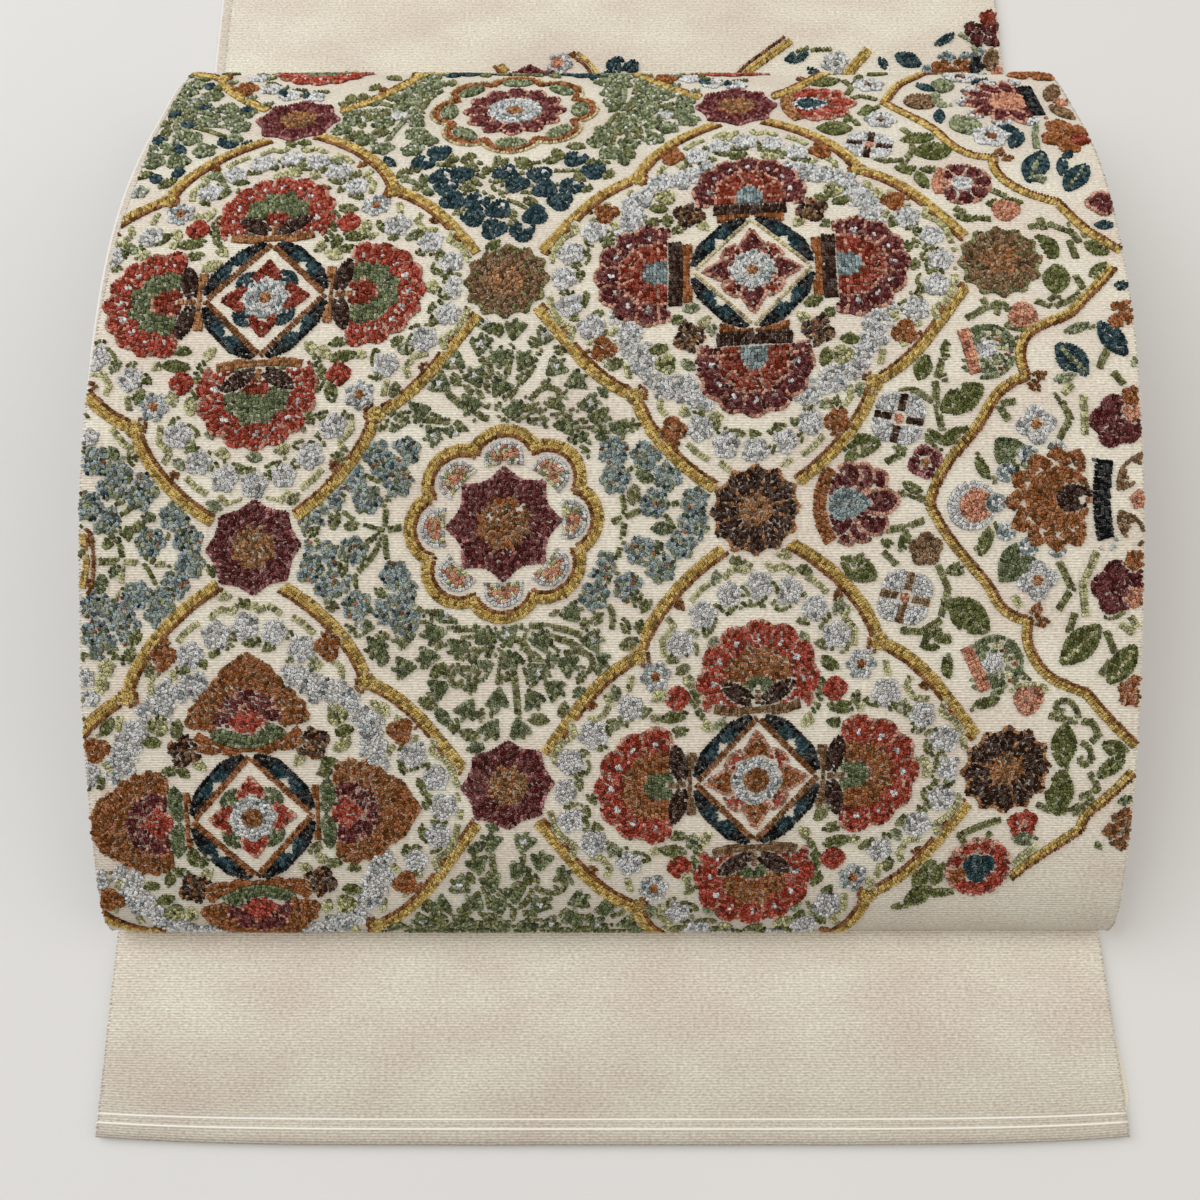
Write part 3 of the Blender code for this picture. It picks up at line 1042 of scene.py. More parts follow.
    def sprigs(self, quarter: Cell, ragged: bool) -> None:
        """The celery-coloured scrolls of one quarter, and the leaves among them."""
        light = [[(61.0, 5.6), (60.0, 10.5), (57.6, 14.5), (53.6, 17.2), (54.6, 20.4)],
                 [(62.0, 1.2), (61.4, 4.0)], [(50.0, 21.4), (45.6, 22.0), (43.2, 25.6), (44.4, 28.6)],
                 [(38.0, 29.0), (37.0, 33.6)], [(27.6, 38.4), (28.0, 43.5), (24.6, 47.0), (26.6, 50.0)],
                 [(20.0, 54.2), (17.0, 57.4), (13.6, 59.6)],
                 [(10.6, 60.4), (7.2, 63.2), (3.6, 62.0), (2.4, 64.4)]]
        sage = ((40.6, 17.6, 0.9), (14.0, 38.8, 1.8), (33.6, 26.4, -0.4), (17.0, 44.0, 0.3))
        dark = ((45.4, 12.4, 0.2), (9.6, 49.8, 2.2), (3.0, 51.6, 0.3), (50.6, 4.2, 1.7))
        for run in light:
            self.line(run, CELERY, 1.7, quarter)
        for u, v, turn in sage:
            self.leaf(quarter.at(u, v, turn), 5.6, 2.9, SAGE)
        for u, v, turn in dark:
            self.leaf(quarter.at(u, v, turn), 5.8, 2.7, LEAF)
        self.leaf(quarter.at(13.0, 15.0, 0.9), 6.6, 3.2, CELERY)
        self.leaf(quarter.at(16.6, 18.6, 1.5), 7.4, 3.1, LEAF)
        self.leaf(quarter.at(19.4, 16.4, -0.1), 7.4, 3.1, LEAF)
        if not ragged:
            self.leaf(quarter.at(26.4, 19.8, 0.2), 6.0, 2.8, CELERY)

    def fill_gaps(self, cell: Cell, region: Outline, room: float = 1.8, tries: int = 1100,
                  threads: Sequence[Thread] = GREENS) -> None:
        """Put small leaves where a region is still bare.

        Args:
            cell: The region's place.
            region: Its outline.
            room: How far a leaf's middle lies from every knot at least.
            tries: How many places are tried.
            threads: The leaves' threads.
        """
        for u, v in self.rng.uniform((-69, -72), (69, 72), (tries, 2)).round(1):
            if region(u, v) < 1.6:
                continue
            here = cell.at(float(u), float(v))
            _, p, q = self.ground.near(here, 7.0)
            free = float(np.hypot(p, q).min(initial=7.0))
            if free < room:
                continue
            turn, thread = self.rng.uniform(0, math.tau), threads[self.rng.integers(len(threads))]
            gaps = [np.hypot(p - free * 1.2 * math.cos(a), q - free * 1.2 * math.sin(a)).min(initial=9.0)
                    + np.hypot(p + free * 1.2 * math.cos(a), q + free * 1.2 * math.sin(a)).min(initial=9.0)
                    for a in np.arange(6) * math.pi / 6 + turn]
            best = turn + int(np.argmax(gaps)) * math.pi / 6
            long = round(min(2.0 * free + 1.6, 7.4), 1)
            self.leaf(here.turned(best).at(-long / 2, 0), long, round(min(1.5 * free, 3.8), 1), thread)

    def ragged_corner(self, quarter: Cell) -> None:
        """The pale patches, dark flower and rust buds in one corner of a ragged cell."""
        for run in ([(38.5, 15.5), (37.0, 22.5), (33.0, 29.0)], [(29.5, 33.5), (22.5, 38.5), (14.0, 41.0)]):
            path = even_steps(np.array(run, float), 2.9, False)
            for i, (u, v) in enumerate(path):
                turn = round(self.rng.uniform(0, 3), 1)
                drift = self.rng.uniform(-1.1, 1.1, 2)
                size = 4.3 + 0.5 * (i % 2)
                self.fill(quarter.at(u + drift[0], v + drift[1], turn), flower(size, 5, 0.3), LILAC, 9,
                          flecks=((BLUE, 0.08),))
        self.fill(quarter.at(18.9, 22.0, 0.4), flower(5.3, 4, 0.26), DARK_BROWN, 7,
                  flecks=((TAUPE, 0.3), (RUST, 0.08)))
        self.leaf(quarter.at(25.0, 24.5, 0.2), 6.8, 3.6)
        self.leaf(quarter.at(15.5, 26.5, 1.4), 6.4, 3.6)
        self.fill(quarter.at(26.2, 30.0), flower(3.3, 3, 0.22), CELERY, 5, flecks=((LEAF, 0.3),))
        self.fill(quarter.at(13.5, 33.5), flower(3.0, 3, 0.22), CELERY, 5)
        for u, v in ((24.0, 50.0), (44.6, 24.0)):
            self.fill(quarter.at(u, v, 0.8), flower(4.2, 3, 0.3), RUST, 6)
            self.line([(u - 2, v - 4.0), (u - 3.5, v - 6.4)], CELERY, 1.7, quarter)

    # Round medallions between the cells

    def scalloped_ring(self, cell: Cell) -> None:
        """A gold ring of eight lobes, with half-round petals in them and a dark flower inside."""
        white, flesh, light = map(THREADS.index, (LILAC, SALMON, CELERY))

        def rule(u: Array, v: Array, row: Array) -> Array:
            lot = self.rng.random(len(u))
            chosen = np.where(lot < 0.24, light, flesh)
            chosen[(u < -1.6) & (lot < 0.62)] = light
            chosen[(row < 1 + (lot > 0.6)) & (u > -3.0)] = white
            return chosen

        self.ground.bare(cell, disc(30.0), 34)
        self.line(lobes(27.2), (BROWN, GOLD, GOLD, GOLD), 3.6, cell, True)
        for lobe in range(8):
            way = cell.turned(lobe * math.pi / 4)
            for flip in (-1, 1):
                self.line([(18.6, 5.2 * flip), (16.8, 4.6 * flip), (16.2, 6.4 * flip)], CELERY, 1.7, way)
            self.shaded(way.at(20.0, 0), half_round(5.6), 8, rule)
        self.rosette(cell, MAROON, MAUVE, RUST, 17.3, 8, 8.0, 0.2)
        self.ground.bare(cell.at(-4.4, 2.4, -0.15), oval(2.3, 0.5), 4)
        self.ground.bare(cell.at(4.6, 4.2, 0.75), oval(1.8, 0.5), 4)

    def leafy_ring(self, cell: Cell) -> None:
        """A rust ring with eight leaves in it and a round flower with a pale disc."""
        self.ground.bare(cell, disc(30.5), 34)
        self.line(lobes(25.9), (RUST, RUST, RUST), 3.0, cell, True)
        self.line(lobes(28.0), (PALE_GOLD,), 0.8, cell, True)
        for lobe in range(8):
            way = cell.turned(lobe * math.pi / 4)
            self.fill(way.at(21.8, 0), oval(2.8, 5.2), SAGE, 6, flecks=((GREEN, 0.45),))
        for i in range(12):
            way = cell.turned(math.tau * i / 12)
            self.fill(way.at(7.5, 0), tipped(10.2, 8.6), MAROON, 18, PINK, 0.7)
        self.fill(cell, flower(9.2, 12, 0.08), LILAC, 10, flecks=((BLUE, 0.2),))
        self.fill(cell, disc(2.6), TAN, 3)

    # The whole pattern

    def build(self) -> None:
        """Work everything, the ground of a cell before what lies on it."""
        fine = PalmetteWork(RED, PINK, GREEN, VERMILION, glint=SAGE)
        deep = PalmetteWork(MAROON, PINK, VERMILION, BLUE, 13, True, light=RUST)
        warm = PalmetteWork(RED, PINK, RUST, GREEN, 12, light=TAUPE, glint=TAN)
        brown, rim = BROWN, PINK
        cells = [
            (spot(-104.0, 199.0), fine, False, MedallionWork(brown, VERMILION, TEAL)),
            (spot(42.0, 209.0), deep, True, MedallionWork(PALE_GOLD, MAROON, VERMILION, True, (6.8, 1.6),
            rim=rim)), (spot(-106.5, 42.4), None, True, MedallionWork(RUST, RED, GREEN, False, (6.9, 3.0),
            brown, rim)), (spot(43.0, 54.3), warm, False, MedallionWork(brown, RUST, RED, True, (7.3, 3.7),
            brown, rim))]
        self.green_fans()
        self.blue_blossoms()
        self.teal_blossoms()
        self.moss_rounds()
        self.right_vines()
        upper = [spot(-104.0, 355.6), spot(42.0, 365.6)]
        for cell in [row[0] for row in cells] + upper:
            self.ground.bare(cell, self.inside_cell, 82)
        for cell, palmettes, ragged, medallion in cells:
            self.lattice(cell)
            self.wreath(cell, ragged)
            for corner in range(4):
                way = cell.turned(corner * ACROSS)
                if palmettes is None:
                    self.pointed_palmette(way, corner % 2 == 1)
                else:
                    self.palmette(way, palmettes, corner % 2 == 1 and not palmettes.inner)
            self.medallion(cell, medallion)
            self.fill_gaps(cell, self.inside_cell)
        self.upper_cells(upper, fine)
        self.scalloped_ring(spot(-31.3, 129.9))
        self.leafy_ring(spot(-34.5, 288.0))
        self.middle_frame()
        self.upper_frame()
        self.lower_right()
        self.rosettes()
        for place, hollow in ((spot(-31.3, 129.9), 31.0), (spot(-34.5, 288.0), 30.0),
                              (spot(-178.0, 119.0), 9.0), (spot(-30.0, -25.0), 9.0),
                              (spot(-178.0, 277.0), 9.0)):
            self.fill_gaps(place, between_cells(hollow), 1.8, 1200, DARK_GREENS)
        self.end_of_work()

    @staticmethod
    def inside_cell(u: Array, v: Array) -> Array:
        """How deep a point lies inside the lattice of one cell."""
        u, v = np.abs(u), np.abs(v)
        return np.where((u > 34.4) | (v > 40.4), 1.0, 2.0) * np.minimum(
            np.minimum(78 - u - v * 1.0, 1.0 + (36.0 - u) * 9 + (78 - v) * 9),
            np.where(u > 34.4, 42.0 - (u - 34.4) * 1.05 - v, 75.0 - v - (u * 0.7)))

    def rosettes(self) -> None:
        """The round flowers where the bands meet."""
        deep = (MAROON, MAUVE, TAN, 14.2, 8)
        brown = (DARK_BROWN, TAN, TAN, 14.0, 12, 5.2)
        grey = (TAUPE, OLIVE, TAN, 13.6, 12, 5.6)
        rows = [(-104.0, 123.0, deep), (-32.0, 205.0, grey), (42.0, 134.0, brown), (-30.5, 52.5, deep),
                (117.0, 212.0, grey), (116.5, 57.5, brown), (-106.5, 281.0, deep), (40.5, 291.0, deep),
                (-31.0, 359.5, deep)]
        for x, s, threads in rows:
            self.rosette(spot(x, s), *threads)

    def green_fans(self) -> None:
        """The lobed green leaves above and below the scalloped ring."""
        above = [(-37, 190), (-29, 188), (-20, 186), (-39, 183), (-46, 178), (-26, 178), (-17, 176),
                 (-40, 173), (-50, 171), (-33, 170), (-41, 165), (-11, 172), (-17, 166), (-7, 165),
                 (-29, 163), (-56, 163), (-51, 156), (-4, 161), (-10, 154), (-33, 179), (-62, 160),
                 (-22, 159), (-45, 157), (-14, 159), (2, 158), (-66, 163)]
        below = [(-35, 70), (-27, 70), (-42, 76), (-33, 79), (-23, 79), (-17, 82), (-13, 89), (-22, 87),
                 (-29, 91), (-30, 97), (-21, 96), (-6, 96), (-50, 82), (-43, 85), (-53, 91), (-44, 94),
                 (-37, 88), (-60, 97), (-51, 98), (-60, 88), (-12, 104), (-68, 94), (-37, 101), (-4, 90),
                 (-57, 104), (-47, 103), (-36, 97), (-72, 100)]
        lowest = [(-36, 34), (-26, 34), (-40, 27), (-28, 25), (-21, 28), (-15, 23), (-45, 20), (-51, 13),
                  (-34, 13), (-10, 15), (-41, 14), (-22, 13), (-29, 17), (-36, 21), (-2, 12), (-57, 7),
                  (-45, 7), (-33, 5), (-19, 6), (-5, 6), (5, 6), (-66, 5), (-26, 4), (-12, 8), (-50, 1),
                  (-40, 1), (-16, 1), (-28, -1), (-3, 0), (8, 1), (-60, 0)]
        for root, fork, twigs in (((-31.0, 157.0), (-34.0, 174.0), above),
                                  ((-31.0, 104.0), (-30.0, 84.0), below),
                                  ((-29.0, 0.0), (-31.0, 18.0), lowest)):
            self.line(bend(root, (root[0] - 3, (root[1] + fork[1]) / 2), fork), OLIVE, 2.2)
            for x, s in twigs:
                middle = (fork[0] + (x - fork[0]) * 0.25, root[1] + (s - root[1]) * 0.45)
                self.line(bend(middle, (x * 0.6 + middle[0] * 0.4, middle[1]), (x, s), 4), OLIVE, 1.9)
            for x, s in twigs:
                away = math.atan2(s - root[1] * 0.6 - fork[1] * 0.4, x - fork[0])
                self.fan_leaf(spot(x, s, away + self.rng.uniform(-0.35, 0.35)))
        for start, heading, turn in (((-24, 166), 1.2, -5.5), ((-46, 160), -0.4, -5.0), ((-38, 86), 2.4, 5.5),
                                     ((-14, 92), 0.5, -5.0), ((0, 99), 1.2, 4.6), ((-23, 20), -0.8, 5.0),
                                     ((0, 9), 0.2, 5.0)):
            self.tendril(start, heading, turn, 8.0)

    def blue_blossoms(self) -> None:
        """The blue-grey blossoms left and right of the scalloped ring."""
        right = [(0.5, 151), (10, 150), (1, 143), (16.5, 144), (12.5, 136), (24.5, 136.5), (24, 129),
                 (8.5, 122), (20.5, 124), (-3, 118), (14.5, 117), (-5, 109), (5, 111.5), (24, 131)]
        left = [
            (-60, 151), (-68, 150), (-62, 142), (-59, 115), (-61, 108), (-78.5, 151), (-84, 146),
            (-76, 143.5), (-82, 137), (-71, 137), (-88, 130), (-83, 120.5), (-75, 122), (-80, 113),
            (-63, 115), (-74, 106), (-65, 105), (-90, 121), (-66, 147), (-82, 112), (-60, 102), (-88, 117)]
        edge = [(-145, 141), (-137, 138), (-147, 131), (-127, 132), (-134, 124.5), (-123, 125), (-122.5, 118),
                (-127, 112), (-138, 109), (-131.5, 104), (-150, 106), (-150, 148), (-141, 99), (-150, 98),
                (-152, 135), (-131, 107), (-143, 103), (-148, 94), (-143, 145), (-135, 141)]
        for root, hub, spots in (((0.0, 130.6), (4.0, 131.5), right), ((-60.0, 129.0), (-66.0, 128.0), left),
                                 ((-152.0, 119.0), (-142.0, 119.0), edge)):
            self.line([root, hub], OLIVE, 2.0)
            ends = {max(spots, key=lambda p: p[1]), min(spots, key=lambda p: p[1]),
                    max(spots, key=lambda p: abs(p[0] - hub[0])), spots[2], spots[-3]}
            vine: list[Point] = []
            for i, (x, s) in enumerate(sorted(ends)):
                pull = (hub[0] + (x - hub[0]) * 0.2, hub[1] + (s - hub[1]) * 0.75)
                vine += bend(hub, pull, (x, s), 9)
                self.line(vine[-10:], CELERY if hub[0] < -100 and i % 2 else LEAF, 1.6)
            for x, s in spots:
                start = min(vine, key=lambda p: math.dist(p, (x, s)) + 0.4 * math.dist(p, hub))
                pull = (start[0] * 0.4 + x * 0.6, start[1] * 0.8 + s * 0.2)
                self.line(bend(start, pull, (x, s), 4), LEAF, 1.4)
            for x, s in spots:
                if (x + 152) ** 2 + (s - 119) ** 2 > 100:
                    self.blue_blossom(spot(x, s))
        self.leaves(((-78, 101, -0.9), (3, 103, -1.2), (7, 105, 1.4), (6, 156, 1.3), (-6, 149, 2.4),
                     (-70, 157, 0.5), (-64, 160, 0.4), (-139, 146, 1.7), (-119, 131, 0.2), (-147, 93, -0.8),
                     (-140, 94, 1.0), (-77, 120, -1.9), (-90, 126, 0.4)), 6.4, 3.2, LEAF)
        self.blossoms(((-147, 88), (-149, 83)), 2.8, CELERY)
        self.blossoms(((-153, 85), (-152, 79), (-152, 155)), 2.9)
        self.line([(-153.5, 110), (-152, 112), (-151.5, 119), (-152, 126), (-153.5, 128)], BROWN, 3.4)
        self.line([(-153.8, 111), (-152.4, 119), (-153.8, 127)], GOLD, 1.8)
        self.line([(-146, 158), (-142, 153), (-139, 151)], CELERY, 1.8)

    def teal_blossoms(self) -> None:
        """The dark teal blossoms below and above the leafy ring."""
        spots = [(-62, 254), (-57, 260), (-55, 247), (-49, 248), (-53, 242), (-50.5, 236), (-43, 235),
                 (-43.5, 229), (-35, 249), (-31, 243.5), (-24, 248), (-22, 241), (-14, 242), (-17, 235.5),
                 (-36, 232), (-37, 224), (-28, 223), (-24.5, 229.5), (-13, 256.5), (-7, 250)]
        hub = (-40.0, 244.0)
        self.line([(-38, 258), (-39, 244), (-31, 230), (-32, 222)], OLIVE, 2.0)
        for x, s in spots:
            start = (hub[0] + (x - hub[0]) * 0.15, hub[1] + (s - hub[1]) * 0.6)
            pull = (start[0] + (x - start[0]) * 0.4, start[1] + 3)
            self.line(bend(start, pull, (x, s), 5), OLIVE, 1.5)
        self.leaves(((-62, 250, 3.0), (-45, 254, 2.6), (-33, 256, -0.3), (-24, 255, 0.1), (-46, 241, 1.2),
                     (-29, 237, -0.6), (-50, 256, 0.5), (-43, 241, 2.9)), 6.5, 3.4, OLIVE)
        for i, (x, s) in enumerate(spots):
            outline = flower(4.3, 3, 0.24, 0.7 * i)
            self.fill(spot(x, s), outline, TEAL, 6)
            if i % 2 == 0:
                self.fill(spot(x + 1.2, s + 1.6), disc(0.9), LILAC, 2)
        self.tendril((-62, 250), 2.6, 5.0, 6.0)
        for x, s in ((-58, 320), (-52, 322), (-12, 321), (-6, 317), (-46, 327), (-36, 329), (-26, 328),
                     (-16, 325), (-42, 335), (-31, 337), (-21, 335), (-36, 343), (-26, 342)):
            self.fill(spot(x, s), flower(4.2, 3, 0.24, x), TEAL, 6)
        self.line([(-32, 318), (-31, 332), (-30, 346)], OLIVE, 1.9)

    def moss_rounds(self) -> None:
        """The round sage-green leaves left and right of the leafy ring, and at the left edge."""
        left = [
            (-90, 287), (-84, 295), (-74, 298), (-68, 305), (-75, 306), (-66, 315), (-74, 313), (-91, 275),
            (-78, 279), (-82, 268), (-76, 263), (-66, 272), (-66, 262), (-83, 303), (-61, 299), (-63, 308),
            (-66, 280), (-72, 288), (-61, 268), (-88, 281), (-70, 321), (-62, 322)]
        right = [
            (-4, 274), (-6, 267), (4, 266), (-2, 260), (3, 279), (12, 279), (12, 269), (17, 276), (8, 297),
            (16, 300), (22, 303), (24, 296), (10, 290), (23, 289), (18, 287), (-2, 302), (2, 309), (10, 312),
            (16, 307), (-4, 312), (3, 318), (11, 304), (8, 285), (24, 281), (-1, 295), (9, 320), (-2, 322)]
        edge = [(-148, 301), (-139, 298), (-151, 290), (-132, 289), (-125, 286), (-136, 281), (-125, 276),
                (-139, 268), (-133, 261), (-148, 255), (-143, 262), (-150, 266), (-128, 282), (-144, 292),
                (-140, 288), (-151, 259), (-140, 255), (-152, 297), (-147, 307), (-126, 268)]
        for hub, spots in (((-66.0, 289.0), left), ((2.0, 288.5), right), ((-147.0, 277.0), edge)):
            for i, (x, s) in enumerate(spots):
                pull = ((x + hub[0]) / 2, hub[1] + (s - hub[1]) * 0.15)
                self.line(bend(hub, pull, (x, s), 5), (SAGE, OLIVE)[i % 2], 1.7)
            for x, s in spots:
                self.blossom(spot(x, s), 4.0, GREEN, None, 5, MOSS_MIX)
        self.leaves((
            (-142, 287, 0.7), (-145, 277, -0.2), (-130, 268, -0.9), (-150, 281, 0.9), (-141, 303, 1.7),
            (-147, 249, -1.0), (-140, 246, 1.2), (-129, 264, 0.1), (-143, 264, -0.9), (-150, 270, -1.4),
            (-128, 288, 0.1), (-122, 262, 1.0)), 6.6, 3.6, TEAL)
        self.blossoms(((-151, 240), (-149, 240), (-73, 284), (16, 285)), 3.0, LILAC, None, 5, ((SAGE, 0.4),))
        self.leaf(spot(-75, 258, -0.9), 8.0, 3.0, TEAL)
        self.tendril((-62, 243), 2.2, 5.0, 6.5, SAGE)

    def upper_cells(self, upper: Sequence[Cell], threads: PalmetteWork) -> None:
        """The cells that go over the drum's back, where the work ends in a half of each."""
        for cell in upper:
            self.lattice(cell)
            for flip in (False, True):
                half = cell.turned(math.pi, not flip)
                for u, v in ((0, 58.0), (8.5, 55.8), (15.8, 50.4), (22.0, 39.5), (39.5, 24.0), (47.8, 16.2)):
                    self.cupped(half.at(u, v, math.atan2(v, u)), 4.0)
                for u, v in ((5.5, 62.5), (13.0, 60.0), (28.5, 42.0), (43.0, 27.0), (19.5, 55.0)):
                    self.leaf(half.at(u, v, 0.8), 6.0, 3.0, SAGE)
                self.leaf(half.at(12.5, 51.0, 2.0), 7.0, 3.0, TEAL)
                self.leaf(half.at(3.0, 53.0, 1.6), 6.0, 2.6, TEAL)
                self.fill(half.at(24.5, 49.0), flower(4.4, 3, 0.3, 0.8), RUST, 6)
                self.bud(half.at(24.0, 23.6, math.pi / 4))
                self.leaf(half.at(30.0, 30.0, 0.6), 8.0, 4.0)
                self.leaf(half.at(16.0, 15.0, 0.3), 9.0, 4.0)
            self.palmette(cell.turned(-ACROSS), threads, True)
            for turn in (-0.9, -0.45, 0.0, 0.45, 0.9):
                self.leaf(cell.at(0, 4, ACROSS + turn), 15, 5, LEAF, CELERY)
            self.rosette(cell.at(0, -7.0), NAVY, TEAL, LILAC, 13.0, 8, 5.0)

    def end_of_work(self) -> None:
        """Leave the cloth bare past the work's end, and add what lies at that end behind the drum."""
        ground = self.ground
        border = np.interp(ground.x, [-160, -85, -48, -40, -20, 20, 45, 62, 100, 160],
                           [360, 372.5, 371.5, 374, 374, 371, 368, 371, 371, 380])
        ground.thread[ground.s > border] = -1
        self.rosette(spot(-31.0, 359.5), MAROON, MAUVE, TAN)
        self.line([(-4, 360), (-5, 368), (-8, 374), (-14, 379.5)], BROWN, 3.6)
        self.line([(-3, 360), (-4, 368), (-7, 374), (-12, 379)], GOLD, 1.9)
        self.blossom(spot(-19, 374), 5.2, LILAC)
        self.fill(spot(-20, 374), disc(2.4), SALMON, 4)
        for x, s, size in ((3, 373.5, 4.0), (9, 372.5, 3.4), (0, 367, 4.0), (7, 365, 4)):
            self.fill(spot(x, s), flower(size, 3, 0.2, 1.0), TEAL, 6)
        self.line([(50, 366), (55, 372), (71, 385.5)], BROWN, 4.6)
        self.line([(51, 366), (56, 371.5), (72, 384.8)], GOLD, 3.2)
        self.leaves(((69, 375, 0.35, 11, 5.6, TEAL), (77, 372, -0.6, 8, 3.4, TEAL)))
        self.line([(74, 379.5), (79, 381.5), (83, 380.5)], OLIVE, 1.9)
        self.line([(80, 380.5), (88, 380.8)], OLIVE, 1.6)
        self.blossom(spot(89.5, 374), 6.0, LILAC, BLUE, 6)
        self.line([(92, 366), (95, 371), (102.5, 380.5)], GOLD, 3.8)
        self.leaves(((109, 371, 1.9, 7, 3.4, TEAL), (123, 373, 2.6, 12, 7.0, TEAL)))
        self.blossoms(((126, 370), (133, 376), (141, 376), (146, 378)), 3.8, BLUE)
        self.blossoms(((130.5, 371.5), (138.5, 372), (134.5, 368.5)), 4.4, RUST)
        self.leaf(spot(128, 382, 0.55), 12, 3.6, TEAL)
        self.line([(139, 388), (143, 385), (145, 379)], SAGE, 1.5)
        self.leaves(((142, 369, 1.0, 10, 6.0, NAVY), (149, 370, 1.3, 12, 6.0, TAUPE)))
        self.blossom(spot(152.5, 370), 3.0, SALMON)
        for x, s in ((144.5, 390.5), (146.5, 385.5), (152, 385.5), (151.5, 391)):
            self.fill(spot(x, s), flower(3.8, 3, 0.2, x), MAROON, 5, DARK_BROWN, 0.6)
        self.blossom(spot(151.5, 396), 4.0, VERMILION)

    # The right side, where a scalloped frame holds bigger flowers

    def frame_line(self, points: Sequence[Point]) -> None:
        """A gold line with a brown edge, which lies on its left."""
        smooth: list[Point] = [points[0]]
        for a, b, c in zip(points, points[1:], points[2:]):
            smooth += [((a[0] + b[0]) / 2, (a[1] + b[1]) / 2), b] if b in SHARP else bend(
                ((a[0] + b[0]) / 2, (a[1] + b[1]) / 2), b, ((b[0] + c[0]) / 2, (b[1] + c[1]) / 2), 4)
        smooth.append(points[-1])
        self.line(smooth, (GOLD, GOLD, BROWN), 3.0)

    def right_vines(self) -> None:
        """The flowers, leaves and vines between the lattice and the scalloped frame."""
        self.lines((
            [(97, 155), (95, 165), (95, 172), (98, 181), (98, 185)], [(84, 169), (89, 169.5), (94, 166)],
            [(82, 154), (84, 150), (80, 148)], [(80, 138), (86, 139), (91, 137)],
            [(79, 128), (86, 129), (91, 131)], [(95, 118), (98, 111), (96, 103), (95, 98)],
            [(84, 99), (90, 98.5), (96, 102)], [(79, 122), (83, 118)],
            [(105, 192), (111, 195.5), (116, 197), (119, 194)], [(104, 76), (110, 76.5), (108, 79)],
            [(118, 88), (122, 84)], [(115, 184), (123, 186)], [(96, 268), (96, 262), (93, 256), (90, 250)],
            [(80, 258), (86, 255), (92, 256)], [(94, 275), (97, 270)], [(80, 297), (84, 299), (89, 296)],
            [(81, 285), (86, 289), (89, 291)], [(79, 300), (82, 306), (80, 312)], [(79, 281), (80, 277)],
            [(105, 233), (110, 229), (116, 228)], [(116, 242), (122, 238)],
            [(108, 31), (104, 37), (110, 40), (116, 42)], [(126, 47), (132, 44), (137, 45), (143, 50)],
            [(133, 65), (134, 60), (134, 55)], [(128, 74), (134, 72.5), (141, 72), (143, 68), (141, 66)],
            [(141, 57), (144, 52), (140, 49)], [(127, 225), (134, 226), (140, 223), (142, 219)],
            [(126, 198), (131, 196), (134, 199)], [(139, 207), (141, 202), (138, 199), (132, 196)],
            [(131, 229), (132, 224)], [(139, 220), (140, 213)], [(107, 240), (106, 247)]), OLIVE, 1.9)
        for start, heading, turn, size in (
                ((114, 193), 1.0, 5.0, 6.0), ((137, 73), 1.6, 5.5, 7.0), ((138, 66), -0.4, -5.0, 6.0),
                ((112, 38), -0.6, -5.2, 6.0), ((137, 44), 0.0, 4.8, 6.0), ((130, 198), 0.4, 5.0, 6.0),
                ((139, 226), 0.4, -4.5, 6.5)):
            self.tendril(start, heading, turn, size, width=1.7)
        vines = [
            (67, 152, 0.15, 12, 7), (68, 147.5, 0.9, 6, 3.4), (66.5, 120, -0.5, 13, 7.5),
            (70, 117, 0.9, 6, 3.2), (96, 163, 0.55, 15, 9), (98, 108, -0.65, 16, 9.5), (92, 158, -1.0, 9, 5),
            (95, 153, 0.5, 11, 4.6), (90, 172, 1.3, 9, 5.4), (95, 173, 0.1, 8, 3.0), (98, 178, 1.5, 8, 3.2),
            (90, 94, 0.5, 8, 6), (97, 116, 0.2, 8, 4), (93, 111, -1.9, 7, 3.6), (93, 96, 0.1, 12, 3.0),
            (98, 93, -1.5, 9, 3.4), (84, 148, 1.5, 8, 3.2), (84, 142, -0.4, 8, 3.0), (84, 121, 1.3, 8, 3.4),
            (78, 125, -0.3, 5, 2.6), (66, 310, 0.2, 13, 9), (66, 275, 0.0, 12, 9), (76, 279, 1.2, 6, 3.0),
            (96, 259, 0.3, 13, 10), (92, 267, 0.25, 13, 6), (88, 252, -0.3, 12, 4.4), (96, 251, -0.1, 9, 3.6),
            (95, 250, -1.2, 10, 4), (82, 306, 0.9, 7, 4.4), (84, 283, 1.5, 9, 5), (105, 76.5, 0.25, 10, 3.4),
            (104, 230, -0.3, 9, 3), (133, 72, -1.5, 14, 7.6), (133, 58, -1.55, 15, 8.4),
            (144, 66, -0.45, 10, 5), (143, 55, 0.7, 11, 5), (129, 222, -1.0, 11, 7),
            (134, 211, -1.65, 11, 8.4), (143, 219, -0.5, 9, 5), (143, 206, 0.6, 9, 5), (84, 12, 0.3, 11, 2.4),
            (92, 17, 0.1, 14, 3.0), (92, 18, 1.2, 12, 7), (97, 20, 1.2, 9, 4.4), (89, 14, 0.6, 10, 6),
            (84, 311, 1.2, 8, 3)]
        self.leaves([(x, s, turn - SLOPE, *size) for x, s, turn, *size in vines])
        self.side_palmette(59.5, 135.2, RUST, MAROON, BLUE, 24.5, 11.8)
        self.side_palmette(56.5, 292.0, TAN, RED, TEAL, 26.0, 12.0)
        for x, s, cross in ((84, 161, DARK_BROWN), (85.5, 108.5, TAUPE), (82, 264.5, DARK_BROWN)):
            place = spot(x, s, 1.3)
            self.fill(place, flower(8.6, 4, 0.2, math.pi / 4), LILAC, 10)
            for corner in range(4):
                self.line([(0, 0), (7.4, 0)], cross, 2.0, place.turned(corner * ACROSS))
            self.fill(place, disc(1.4), SALMON, 2)
        self.blossoms(((88, 281), (88, 308)), 5.6, LILAC, TAUPE, 6)
